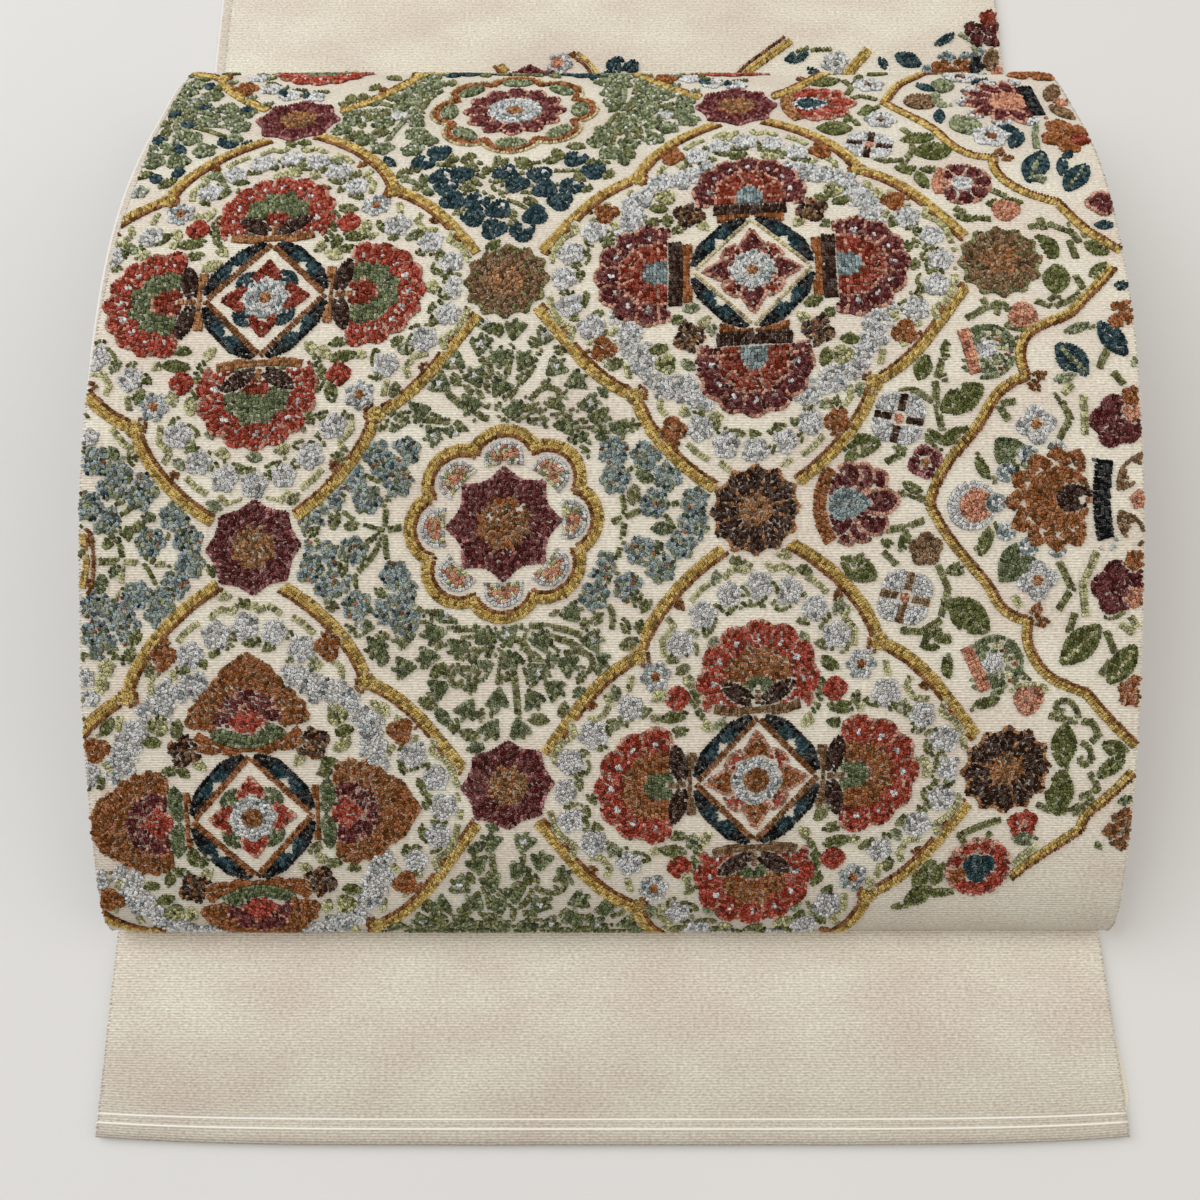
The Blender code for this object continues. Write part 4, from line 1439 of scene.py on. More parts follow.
        self.fill(spot(91.5, 148), flower(5.2, 4, 0.2, 0.3), MAROON, 7, MAUVE, 0.5)
        self.fill(spot(91.5, 148), disc(1.3), TAN, 3)
        self.fill(spot(91.5, 122.5), flower(5.2, 5, 0.22, 0.3), TAUPE, 7)
        for x, s in ((109, 181.5), (110, 88.5)):
            self.cup_flower(spot(x, s, -0.1 if s > 100 else 0.12))
        place = spot(109, 244)
        self.fill(place, disc(9.6), PINK, 10)
        for i in range(7):
            self.fill(place.turned(i * math.tau / 8 - 2.3).at(3.4, 0), petal(5.9, 4.8), MAROON, 8)
        self.line([(101.5, 239), (101, 244), (103.5, 251)], SALMON, 3.0)
        self.blossom(place, 3.6, LILAC)
        for x, s, turn in ((122, 195, 1.0), (122, 76.5, -1.0), (121, 230, -1.2)):
            lift = 5.0 if turn < 0 else -5.0
            self.fill(spot(x, s + lift), oval(5.8, 2.2), CELERY if s < 100 else LEAF, 8)
            self.fill(spot(x, s + lift * 0.4, turn * math.pi / 2), flower(4.6, 3, 0.16), SALMON, 8)

    def side_palmette(self, x: float, s: float, base: Thread, petals: Thread, core: Thread,
                      length: float, half: float) -> None:
        """A palmette on its side, which grows to the right from a curved base."""
        place = spot(x, s)
        for angle in np.radians([-86, -60, -36, 36, 60, 86, 0]):
            reach = 12.4 + 3.4 * math.cos(angle) ** 2
            self.fill(place.at(length * 0.36, 0, angle), petal(reach, 8.2), petals, 20, PINK, 1.15)
        self.fill(place.at(6.5, 0), oval(5.0, 9.0), petals, 12)
        self.line(bend((4.5, half - 1.0), (-2.4, 0), (4.5, -half + 1.0), 8), base, 3.8, place)
        self.fill(place.at(3.8, 0), petal_drop(12.5, 9.4), core, 14, LILAC if core is TEAL else None, 0.8)

    def cup_flower(self, place: Cell) -> None:
        """A green round flower with a pink band on its left and a pale heart."""
        self.fill(place.at(1.5, 0), disc(8.8), SAGE, 10, flecks=((GREEN, 0.55),))
        self.ground.bare(place.at(-7.5, 0), lambda u, v: np.minimum(2.2 - np.abs(u), 12 - np.abs(v)), 14)
        self.line([(-6.0, 6.8), (-3.6, 0), (-1.5, -7.0)], SALMON, 3.4, place)
        self.blossom(place.at(1.4, 0.8), 3.2, LILAC)
        for u, v in ((6.0, 1.0), (4.4, -3.6), (3.0, 5.6)):
            self.line([(u - 1.2, v), (u + 1.6, v)], CELERY, 1.2, place)
            self.fill(place.at(u + 1.6, v - 1.8), disc(0.8), RUST, 2)

    def middle_frame(self) -> None:
        """The scalloped frame in the middle of the right edge, with a lotus in it."""
        outline = [(151, 210), (147, 205), (141, 199), (136, 193), (127, 190), (121.5, 186), (120, 179.5),
                   (121.5, 173.5), (116.5, 171.5), (112, 167.5), (108.5, 161), (105, 156), (99, 149.5),
                   (94.5, 142), (92.5, 136), (96.5, 128), (104, 118.5), (110, 112), (112.5, 106.5),
                   (116.5, 103.2), (121.5, 101.6), (120.8, 96), (123.5, 90), (128, 85), (134, 82.3),
                   (139, 80.5), (142, 77), (147, 71.5), (154, 65)]
        self.ground.bare(Cell(0, 0, slope=0), self.right_of(outline), 500)
        self.lines(([(116, 160), (113, 165), (118, 166)], [(130, 169), (134, 161), (129, 152)],
                    [(130, 119), (134, 111), (130, 105)], [(106, 151), (108, 144), (113, 142)],
                    [(106, 122), (109, 128), (113, 130)], [(147, 175), (150, 171)], [(133, 98), (135, 104)],
                    [(144, 99), (147, 92), (143, 86)], [(146, 182), (143, 176)], [(143, 190), (136, 187)]),
                   OLIVE, 2.0)
        self.lines(([(138, 168), (138, 156)], [(141, 122), (137, 112), (138, 103)], [(117, 109), (119, 106)],
                    [(148, 101), (152, 98)], [(132, 168), (135, 171)], [(151, 103), (153, 100)]), CELERY, 2.0)
        self.leaves((
            (112, 155, -0.85, 15, 9.5, GREEN), (113, 113, 0.85, 15, 10, GREEN),
            (131, 184, -0.9, 14, 8.4, TEAL, SAGE), (144, 191, -1.0, 14, 7.0, TEAL),
            (131, 89, 0.75, 16, 9.0, LEAF, CELERY), (145, 83, 0.95, 14, 7.5, LEAF, CELERY),
            (106, 150, -1.1, 9, 3.4, LEAF), (107, 120, 1.2, 10, 4, LEAF), (147, 139, 0.95, 14, 6.4, TAUPE),
            (147, 134, -0.95, 14, 6.4, TAUPE), (129, 172, 0.2, 8, 3, SAGE), (133, 187, 0.3, 10, 3, SAGE),
            (143, 102, 0.5, 9, 4, LEAF), (153, 176, 1.0, 5, 3, SAGE)))
        self.ground.bare(spot(152, 145), oval(2.4, 3.2), 5)
        self.ground.bare(spot(152, 127), oval(2.4, 3.2), 5)
        bud = spot(105, 135.2)
        self.fill(bud, disc(7.2), LILAC, 9)
        self.fill(bud.at(1.2, 0), disc(4.8), SALMON, 7)
        self.ground.bare(bud.at(8.4, 0), oval(2.6, 7.0), 9)
        self.line([(111, 135.2), (114.5, 135.2)], CELERY, 1.8)
        lotus = spot(127, 137)
        for angle in np.radians([80, 112, 144, 180, 216, 248, 280]):
            self.fill(lotus.at(15.0 * math.cos(angle), 14.5 * math.sin(angle)), disc(2.8), BLUE, 4,
                      flecks=((LILAC, 0.4),))
        self.blossoms(((143, 148), (144, 125)), 3.2, BLUE, flecks=((LILAC, 0.4),))
        for angle in np.radians([66, 92, 120, 150, 180, 210, 240, 268, 294]):
            self.fill(lotus.at(3, 0, angle), leaf(15.5, 8.6, 0.6), RUST, 18, flecks=((TAN, 0.22),))
        self.fill(lotus.at(3, 0), disc(9.5), RUST, 11, flecks=((TAN, 0.22),))
        self.fill(lotus.at(2.5, 0), petal_drop(12.5, 8.0), DARK_BROWN, 14)
        self.line([(137.5, 136.8), (141, 136.8)], SALMON, 1.6)
        crescent = spot(142.0, 137)
        self.line(bend((1.6, 11.6), (-0.8, 0), (1.6, -11.6), 8), NAVY, 5.0, crescent)
        for x, s in ((124, 159), (124, 113.5)):
            self.fill(spot(x, s, 0.1), flower(6.0, 4, 0.34), LILAC, 8)
            self.fill(spot(x, s), disc(1.5), TAN, 3)
        for x, s, up in ((147.5, 160, 1), (147.5, 111.5, -1)):
            self.fill(spot(x, s), flower(8.2, 5, 0.2, 0.5), MAROON, 10)
            self.blossoms(((152.5, s + 3.0 * up, 3.4, SALMON),
                           (152, s + 7.8 * -up if up < 0 else s + 7.5, 3.2, RUST)))
        self.blossoms(((153.5, 137, 3.0, SALMON), (152, 194, 4.4, RUST), (149.5, 191, 2.6, RUST)))
        self.blossom(spot(152.5, 81), 4.8, RUST, flecks=((SALMON, 0.3),))
        self.leaves(((122, 173.0, 0.15), (122, 173.5, -1.0), (122, 102.0, -0.25), (121.5, 102.0, 0.9)), 6.4,
                    3.2, BROWN)
        self.frame_line(outline)

    def upper_frame(self) -> None:
        """The scalloped frame above it, with a spiked flower in it."""
        outline = [
            (120, 332), (110, 322), (106, 315), (99, 309), (95, 302), (91, 293.5), (96.5, 286), (102, 279),
            (105.5, 273), (107.5, 266.5), (111.5, 260.5), (116, 257.8), (121.0, 257.4), (120.2, 252),
            (122, 246), (127, 240.5), (133, 237.2), (137.5, 235.5), (140.5, 230), (145, 223), (154, 216)]
        self.ground.bare(Cell(0, 0, slope=0), self.right_of(outline), 500)
        self.ground.bare(spot(150, 320), lambda u, v: np.minimum(0 * u + 6, 20 - np.abs(v)), 30)
        self.leaves((
            (104.5, 309, -0.9, 9, 4.2, TEAL), (109, 289, -1.75, 11, 3.6, TEAL),
            (112, 301, 1.3, 13, 8.0, SAGE), (113, 284, -1.2, 15, 10.5, SAGE), (118, 310, 0.8, 8, 3.6, LEAF),
            (125, 279, -0.8, 11, 4.0, TEAL), (128, 262, 1.15, 12, 5.0, TEAL),
            (130, 244, 1.15, 18, 8.4, TEAL, SAGE), (141, 240, 0.95, 16, 7.4, TEAL, SAGE),
            (141, 247, 1.35, 11, 3.6, TEAL), (143, 256, 0.8, 6, 3.2, TEAL), (124, 308, 0.6, 9, 4.0, TEAL),
            (147, 294, 1.15, 15, 5.6, TAUPE), (147, 292, -1.1, 13, 5.6, TAUPE)))
        self.lines(([(136, 262), (137, 270), (140, 281)], [(136, 311), (140, 305)], [(111, 292), (114, 292)]),
                   SAGE, 1.8)
        bud = spot(103.5, 294.5)
        self.fill(bud, disc(5.6), TAUPE, 7)
        for u, v in ((6, 4), (7, -3), (6, 0)):
            self.blossom(bud.at(u, v), 2.0, SAGE)
        star = spot(133.5, 294)
        for angle in np.radians([70, 105, 140, 176, 212, 248, 285]):
            self.fill(star.at(14.5 * math.cos(angle), 14.5 * math.sin(angle)), disc(3.3), LILAC, 5,
                      flecks=((BLUE, 0.25),))
        for angle in np.radians([52, 84, 116, 148, 180, 212, 244, 276, 308]):
            self.fill(star.turned(angle), leaf(16.5, 7.0, 0.6), MAROON, 18, PINK, 0.9)
        self.fill(star, disc(6.6), SALMON, 7)
        crescent = spot(141.5, 295)
        self.line([(0, 10.6), (0, -10.6)], NAVY, 4.6, crescent)
        for x, s in ((122.5, 270), (122, 316)):
            self.fill(spot(x, s), flower(6.4, 5, 0.2), LILAC, 8)
            self.fill(spot(x, s), disc(1.7), BROWN, 3)
        self.blossoms(((146, 276), (143, 268), (151, 272), (147, 264)), 4.6, RUST)
        self.blossoms(((151, 267, 3.4, VERMILION), (151.5, 294, 2.8, SALMON)))
        self.blossoms(((144, 318), (151, 316), (148, 323)), 5.0, RUST)
        self.fill(spot(151.5, 235), flower(5.4, 4, 0.2), MAROON, 7, PINK, 0.8)
        self.leaves(((147, 226, -0.1, 7, 3.4, TEAL), (150, 203, 0.0, 5, 3.4, TEAL)))
        self.blossom(spot(134, 246), 2.0, SAGE)
        self.leaves(((122, 257.4, -0.2), (121.5, 257.4, 0.9)), 6.2, 3.2, BROWN)
        self.frame_line(outline)
        self.blossoms((
            (113, 330, 4.8, LEAF), (122, 328, 4.8, SAGE), (132, 330, 4.8, BLUE), (142, 334, 4.8, LILAC),
            (150, 338, 4.8, TAUPE), (128, 340, 4.8, MAROON), (140, 346, 4.8, SALMON), (150, 350, 4.8, LILAC),
            (134, 356, 4.8, LEAF), (146, 361, 4.8, TEAL), (118, 350, 4.8, SAGE), (122, 362, 4.8, LEAF)))
        self.leaves(((90, 318, 0.8), (84, 330, 1.1), (98, 330, 0.4), (88, 345, 0.9), (100, 350, 0.5),
                     (104, 340, 1.3), (92, 358, 0.6), (112, 342, 0.8)), 12, 6.5)

    def lower_right(self) -> None:
        """The small frame at the bottom of the right edge, and the bare cloth past it."""
        outline = [(154, 57), (148, 50), (141, 44), (139.5, 39), (131, 32.5), (124, 27), (120.5, 23)]
        past = np.array([(160, 62), (154, 57), (141, 40), (121, 22), (112, 10), (80, 8), (70, -5)])
        order = np.argsort(past[:, 0])
        limit = np.interp(self.ground.x, past[order, 0], past[order, 1])
        bare = (self.ground.s < limit) & (self.ground.x > 112)
        self.ground.thread[bare] = -1
        self.frame_line(outline)
        flower_at = spot(110.5, 26.5)
        self.fill(flower_at, disc(9.8), RUST, 11, PINK, 1.0)
        for i in range(8):
            angle = i * math.tau / 9 - 2.1
            self.fill(flower_at.turned(angle).at(3.4, 0), petal(6.2, 5.2), RED, 8, PINK if i > 4 else None,
                      0.8)
        self.fill(flower_at, flower(5.0, 3, 0.3, 0.4), TEAL, 6)
        self.blossom(spot(122.5, 41.0), 4.6, RED, SALMON)
        self.leaf(spot(119, 36, -0.1), 9, 4.0, SAGE)
        self.line([(127, 34), (123, 30), (121, 27)], CELERY, 2.0)
        self.blossom(spot(152.5, 42), 4.0, TAUPE, flecks=((RUST, 0.5),))
        self.blossom(spot(152.5, 36), 3.8, TAUPE, flecks=((RUST, 0.5),))
        self.blossom(spot(149, 38.5), 2.8, TAUPE, flecks=((RUST, 0.5),))
        self.leaves(((150, 47, 0.4, 5, 3, GREEN), (144.5, 35.5, -1.1, 4.2, 2.2, LEAF)))

    @staticmethod
    def right_of(outline: Sequence[Point]) -> Outline:
        """How far right of an outline a point lies, between the outline's ends."""
        spots = np.array(sorted(outline, key=lambda p: p[1]))

        def depth(x: Array, s: Array) -> Array:
            edge = np.interp(s, spots[:, 1], spots[:, 0])
            return np.where((s > spots[0, 1]) & (s < spots[-1, 1]), x - edge, -1.0)

        return depth


SHARP = {(92.5, 136), (91, 293.5), (121.5, 173.5), (121.5, 101.6), (139.5, 39), (141, 199), (139, 80.5),
         (137.5, 235.5), (121.0, 257.4)}


# ---------------------------------------------------------------------------------------------
# The line that the sash follows, as the solids do


# How far apart the points of the seam line are on its straight runs.
FINE, NEAR, EVEN, COARSE = 0.0025, 0.003, 0.004, 0.012


@dataclass(frozen=True)
class SashLine:
    """The seam line of the whole sash, from the tail's tip to the hand end, as (back, up) points.

    Back is measured from the tail's tip and up from the surface that the sash lies on.
    """

    width: float = 0.310
    length: float = 4.35
    face: float = 0.0013
    lining: float = 0.0010
    seam_gap: float = 0.0003
    layer_gap: float = 0.0004
    tail_turn: float = 0.294
    tail_shown: float = 0.100
    flat_from: float = 0.480
    stack_front: float = 0.466
    layers: int = 9
    drift: float = 0.0026
    corner_draw: float = 0.0023
    corner_reach: float = 0.030

    @property
    def face_side(self) -> float:
        """From the seam line to the face cloth's outer side."""
        return self.face + self.seam_gap / 2

    @property
    def lining_side(self) -> float:
        """From the seam line to the lining's outer side."""
        return self.lining + self.seam_gap / 2

    @property
    def middle(self) -> float:
        """The cloth's middle line in the frame."""
        return -self.drift / 2

    @cached_property
    def heights(self) -> list[float]:
        """The height of the seam line of each layer in the stack."""
        found = [self.lining_side]
        for layer in range(1, self.layers):
            side = self.face_side if layer % 2 else self.lining_side
            found.append(found[-1] + 2 * side + self.layer_gap)
        return found

    def half_turn(self, back: float, lower: int, to_back: bool, steps: int = 8) -> list[Point]:
        """The fold from layer lower to the next one."""
        low, high = self.heights[lower], self.heights[lower + 1]
        radius, bulge = (high - low) / 2, 1 if to_back else -1
        angles = [math.pi * step / steps - math.pi / 2 for step in range(steps + 1)]
        return [
            (back + bulge * radius * math.cos(a), (low + high) / 2 + radius * math.sin(a))
            for a in angles
        ]

    @cached_property
    def drum(self) -> list[Point]:
        """The drum, from the inner fold, round the nose, over the top and down behind."""
        return shifted(smooth_curve(DRUM_PROFILE, DRUM_STEPS), -self.face_side)

    @cached_property
    def stack_back(self) -> float:
        """How far back the stack's folds lie, so that the seam line has the sash's length."""
        drum = shifted(smooth_curve(DRUM_PROFILE, SOLID_STEPS), -self.face_side)
        inner = run_length(self.half_turn(self.tail_turn, 0, True))
        before = self.tail_turn + inner + self.tail_turn - drum[0][0] + run_length(drum)
        turns = sum(math.pi * (b - a) / 2 for a, b in zip(self.heights, self.heights[1:]))
        spare = self.length - before - turns
        return (spare + drum[-1][0] + (self.layers - 1) * self.stack_front) / self.layers

    @property
    def depth(self) -> float:
        """How deep the whole sash lies, from the tail's tip to the back."""
        return self.stack_back + (self.heights[1] - self.heights[0]) / 2 + self.lining_side

    @cached_property
    def first_cloth(self) -> list[Point]:
        """The tail, the stretch inside the drum, the drum and the stretch behind it."""
        gap = self.seam_gap / 2
        tail = spaced((0.0, self.heights[0]), (self.tail_shown, self.heights[0]), FINE)
        tail += spaced(tail[-1], (self.tail_turn, self.heights[0]), COARSE)[1:]
        inner = self.half_turn(self.tail_turn, 0, True)
        inner += spaced(inner[-1], (self.drum[0][0], self.heights[1]), COARSE)[1:]
        behind = spaced(self.drum[-1], (self.flat_from, self.heights[0]), NEAR)
        behind += spaced(behind[-1], (self.stack_back, self.heights[0]), COARSE)[1:]
        turn = self.half_turn(self.stack_back, 0, True)
        turn[-1] = (turn[-1][0] + gap, turn[-1][1])
        return tail + inner[1:] + list(self.drum[1:]) + behind[1:] + turn[1:]

    @cached_property
    def hand_end(self) -> list[Point]:
        """The stack's top layer, from its fold at the front to its end at the back."""
        found = self.half_turn(self.stack_front, self.layers - 2, False)
        found[0] = (found[0][0] - self.seam_gap / 2, found[0][1])
        return found + spaced(found[-1], (self.stack_back, self.heights[-1]), EVEN)[1:]


DRUM_PROFILE = [
    (0.0840, 0.0030), (0.0740, 0.0030), (0.0662, 0.0035), (0.0624, 0.0064), (0.0632, 0.0108),
    (0.0672, 0.0158), (0.0742, 0.0210), (0.0850, 0.0281), (0.0990, 0.0360), (0.1260, 0.0490),
    (0.1540, 0.0592), (0.1820, 0.0676), (0.2100, 0.0736), (0.2390, 0.0757), (0.2660, 0.0739),
    (0.2920, 0.0677), (0.3160, 0.0582), (0.3364, 0.0482), (0.3505, 0.0405), (0.3585, 0.0335),
    (0.3628, 0.0250), (0.3655, 0.0165), (0.3690, 0.0092), (0.3755, 0.0043), (0.3850, 0.0027),
    (0.3960, 0.0026),
]
SOLID_STEPS = 52
DRUM_STEPS = 3 * SOLID_STEPS


def run_length(path: Sequence[Point]) -> float:
    """The length of a path."""
    return sum(math.dist(a, b) for a, b in zip(path, path[1:]))


def spaced(start: Point, end: Point, pace: float) -> list[Point]:
    """Points on the straight line from start to end, about a pace apart."""
    steps = max(1, round(math.dist(start, end) / pace))
    return [
        tuple(a + (b - a) * step / steps for a, b in zip(start, end)) for step in range(steps + 1)
    ]


def smooth_curve(points: Sequence[Point], steps: int) -> list[Point]:
    """Evenly spaced points on the cubic spline through points, level at both ends."""
    places = np.array(points)
    chords = np.hypot(*np.diff(places, axis=0).T)
    along = np.concatenate([[0.0], np.cumsum(chords)])
    count = len(places)
    system = np.zeros((count, count))
    right = np.zeros((count, 2))
    system[0, 0] = system[-1, -1] = 1.0
    right[0] = (math.copysign(1.0, places[1, 0] - places[0, 0]), 0.0)
    right[-1] = (math.copysign(1.0, places[-1, 0] - places[-2, 0]), 0.0)
    for i in range(1, count - 1):
        before, after = chords[i - 1], chords[i]
        system[i, i - 1 : i + 2] = (after, 2 * (before + after), before)
        steps_in, steps_out = places[i] - places[i - 1], places[i + 1] - places[i]
        right[i] = 3 * (after / before * steps_in + before / after * steps_out)
    slopes = np.linalg.solve(system, right)
    found = []
    for s in np.linspace(0.0, along[-1], steps + 1):
        i = min(int(np.searchsorted(along, s, side="right")) - 1, count - 2)
        t = (s - along[i]) / chords[i]
        spot = (2 * t**3 - 3 * t**2 + 1) * places[i] + (3 * t**2 - 2 * t**3) * places[i + 1]
        spot = spot + (t**3 - 2 * t**2 + t) * chords[i] * slopes[i]
        found.append(tuple(spot + (t**3 - t**2) * chords[i] * slopes[i + 1]))
    return found


def sideways(path: Sequence[Point]) -> Array:
    """The direction to the left of travel at each point, drawn out at corners so that a shifted
    path keeps its distance from both neighbouring runs."""
    spots = np.array(path)
    runs = np.diff(spots, axis=0)
    left = np.stack([-runs[:, 1], runs[:, 0]], axis=1) / np.hypot(*runs.T)[:, None]
    across = (np.vstack([left[:1], left]) + np.vstack([left, left[-1:]])) / 2
    return across / (across**2).sum(axis=1)[:, None]


def shifted(path: Sequence[Point], amount: float) -> list[Point]:
    """The path moved to the left of its travel by an amount."""
    return [tuple(spot) for spot in np.array(path) + amount * sideways(path)]


def ease(value: Array | float, start: float, end: float) -> Array:
    """A smooth step from 0 to 1 as value goes from start to end."""
    t = np.clip((np.asarray(value, float) - start) / (end - start), 0.0, 1.0)
    return t * t * (3 - 2 * t)


class Side(Enum):
    """The two cloths of the sash: which side of the seam line each lies on."""

    FACE = 1
    LINING = -1


@dataclass
class Sheet:
    """One cloth of the sash along a path, as a thin closed shell with rounded edges.

    Args:
        line: The sash's line.
        path: The seam line along this cloth.
        side: Which cloth it is.
        columns: How many columns of faces go across.
        drum_start: The point of the path where the drum starts, or None where there is no drum.
        tip: The end of the path that is a cloth end: start, end or None.
        peep_over: How far the face's left edge is drawn in over the drum.
        peep_behind: The same behind it.
        rim_steps: How many faces round each half of the rim.
        peek: How far the lining shows past the face near the end of the sash.
        flare: How far the right edge runs out or in: at measures from the end of the sash, and by how much.
    """

    line: SashLine
    path: list[Point]
    side: Side
    columns: int = 64
    drum_start: int | None = None
    tip: str | None = None
    peep_over: float = 0.0036
    peep_behind: float = 0.0042
    rim_steps: int = 3
    peek: float = 0.0019
    flare: tuple[tuple[float, ...], tuple[float, ...]] = (
        (0.0, 0.02, 0.06, 0.08, 0.13), (0.0012, 0.0006, -0.0012, -0.0015, 0.0))

    @property
    def thickness(self) -> float:
        """How thick this cloth is."""
        return self.line.face if self.side is Side.FACE else self.line.lining

    @cached_property
    def outer(self) -> Array:
        """The path of the cloth's outer side."""
        amount = self.line.face_side if self.side is Side.FACE else -self.line.lining_side
        return np.array(shifted(self.path, amount))

    @cached_property
    def along(self) -> Array:
        """The measure along the outer side at each point, from the drum's nose."""
        found = np.concatenate([[0.0], np.cumsum(np.hypot(*np.diff(self.outer, axis=0).T))])
        if self.drum_start is None:
            return found
        first, last = self.drum_start, self.drum_start + DRUM_STEPS
        return found - found[first + int(self.outer[first:last, 0].argmin())]

    @cached_property
    def share(self) -> Array:
        """How far along the drum each point is: 0 before it and 1 behind it."""
        if self.drum_start is None:
            return np.zeros(len(self.path))
        return np.clip((np.arange(len(self.path)) - self.drum_start) / DRUM_STEPS, 0.0, 1.0)

    @cached_property
    def drift(self) -> Array:
        """How far the middle stands to the right at each point."""
        return self.line.drift * np.sin(math.pi * self.share**3) ** 2

    @cached_property
    def left(self) -> Array:
        """Where the left edge is at each point, from the cloth's middle."""
        edge = np.full(len(self.path), -self.line.width / 2)
        if self.side is Side.FACE and self.drum_start is not None:
            edge += self.peep_over * ease(self.share, 0.35, 0.70)
            edge += (self.peep_behind - self.peep_over) * ease(self.share, 0.8, 1.0)
        return edge

    def lift(self, x: Array, s: Array) -> Array:
        """How far the cloth stands proud of its even form where it is free, in metres."""
        if self.side is Side.LINING or self.drum_start is None:
            return np.zeros(np.broadcast(x, s).shape)
        waves = sum(high * np.sin(x * across + s * along + start) for across, along, start, high in WAVES)
        edge = ease(np.abs(x), 0.115, 0.153)
        ripple = np.sin(s * 96 + 1.3 + np.sign(x)) + 0.7 * np.sin(s * 47 + 0.4)
        free = ease(s, 0.002, 0.020) * (1 - ease(s, 0.330, 0.345))
        return free * (0.00010 * (waves + 2.8) + edge * 0.00016 * (ripple + 1.7))

    def mesh(self, name: str) -> bpy.types.Mesh:
        """The closed shell, with its measures across and along as its UV map, in metres."""
        half = self.thickness / 2
        normals = sideways(self.path) * self.side.value
        middle = self.outer - normals * half
        angles = np.linspace(0, math.pi, 2 * self.rim_steps + 1)[1:-1]
        share = np.linspace(0.0, 1.0, self.columns + 1)
        rows, uv = [], []
        for i, along in enumerate(self.along):
            left = self.left[i] + half
            right = float(self.right(along)) - half
            x = left + (right - left) * share
            ring = [x, right + half * np.sin(angles), x[::-1], left - half * np.sin(angles)]
            across = np.concatenate(ring)
            rise = np.cos(angles)
            level = np.concatenate([np.ones(x.size), rise, -np.ones(x.size), -rise])
            swell = END_SWELL if self.tip_row == i else 1.0
            s = np.full(across.shape, along)
            off = half * level * swell + np.where(level > -0.5, self.lift(across, s), 0.0)
            back = middle[i, 0] + normals[i, 0] * off
            up = middle[i, 1] + normals[i, 1] * off
            back = back + self.drawn(across, back)
            x = self.line.middle + across + self.drift[i]
            rows.append(np.stack([x, back - self.line.depth / 2, up], axis=1))
            uv.append(np.stack([across, s], axis=1))
        return shell(name, np.array(rows), np.array(uv), self.columns + 1)

    def right(self, s: Array | float) -> Array | float:
        """Where the right edge is at measures along the cloth, from its middle."""
        edge = self.line.width / 2
        if self.tip != "start":
            return edge + 0.0 * s
        from_tip = s - self.along[0]
        edge = edge + np.interp(from_tip, *self.flare)
        if self.side is Side.LINING:
            edge = edge + self.peek * ease(from_tip, 0.0075, 0.0105) * (1 - ease(from_tip, 0.012, 0.042))
        return edge

    @property
    def tip_row(self) -> int:
        """The row at the cloth's end, or -1."""
        return {"start": 0, "end": len(self.path) - 1}.get(self.tip, -1)

    def drawn(self, x: Array, back: Array) -> Array:
        """How far the corners of a cloth end are drawn in."""
        if self.tip is None:
            return np.zeros(x.shape)
        tip_at = self.path[0][0] if self.tip == "start" else self.path[-1][0]
        fade = np.maximum(0.0, 1 - np.abs(back - tip_at) / self.line.corner_reach)
        draw = self.line.corner_draw * np.abs(2 * x / self.line.width) ** 5 * fade
        return draw if self.tip == "start" else -draw

    def place(self, x: Array, s: Array) -> tuple[Array, Array]:
        """The spots on the outer side at measures across and along, and the directions out."""
        back = np.interp(s, self.along, self.outer[:, 0])
        up = np.interp(s, self.along, self.outer[:, 1])
        normals = sideways(self.path) * self.side.value
        normals /= np.hypot(*normals.T)[:, None]
        out = [np.interp(s, self.along, normals[:, axis]) for axis in (0, 1)]
        drift = np.interp(s, self.along, self.drift)
        lift = self.lift(x, s)
        spots = [self.line.middle + x + drift, back + self.drawn(x, back) - self.line.depth / 2, up]
        spots[1] = spots[1] + out[0] * lift
        spots[2] = spots[2] + out[1] * lift
        return np.stack(spots, axis=-1), np.stack([np.zeros_like(back), *out], axis=-1)


END_SWELL = 0.25
# The waves of the free cloth: how steep each goes across and along, where it starts, and how high it is.
WAVES = ((41, 13, 0.6, 1.0), (23, -31, 2.1, 1.0), (67, 47, 4.0, 0.8), (-9, 83, 0.0, 0.6))


def ring_faces(count: int, ring: int, base: int = 0) -> list[list[int]]:
    """The faces between a count of rings of points, where base is the first point's number."""
    here = base + np.arange(count - 1)[:, None] * ring + np.arange(ring)[None, :]
    beside = np.roll(here, -1, axis=1)
    return np.stack([here, beside, beside + ring, here + ring], axis=-1).reshape(-1, 4).tolist()


def shell(name: str, rows: Array, uv: Array, top: int) -> bpy.types.Mesh:
    """A closed shell from rings of points, one ring for each row.

    Args:
        name: The mesh's name.
        rows: The rings.
        uv: The UV place of each point.
        top: How many points of a ring lie on its outer side.

    Returns:
        The mesh, smooth, with its faces pointing outwards.
    """
    count, ring = rows.shape[:2]
    rim = ring // 2 - top
    under = 2 * top + rim - 1
    faces = ring_faces(count, ring)
    for base, turn in ((0, -1), ((count - 1) * ring, 1)):
        caps = [(j, j + 1, under - j - 1, under - j) for j in range(top - 1)]
        caps.append(tuple(range(top - 1, top + rim + 1)))
        caps.append(tuple(range(under, ring)) + (0,))
        faces += [tuple(base + corner for corner in cap[::turn]) for cap in caps]
    mesh = bpy.data.meshes.new(name)
    mesh.from_pydata(rows.reshape(-1, 3).tolist(), [], faces)
    layer = mesh.uv_layers.new(name="cloth")
    corners = np.zeros(len(mesh.loops), np.int32)
    mesh.loops.foreach_get("vertex_index", corners)
    layer.data.foreach_set("uv", uv.reshape(-1, 2)[corners].ravel().astype(np.float32))
    outwards(mesh)
    return mesh


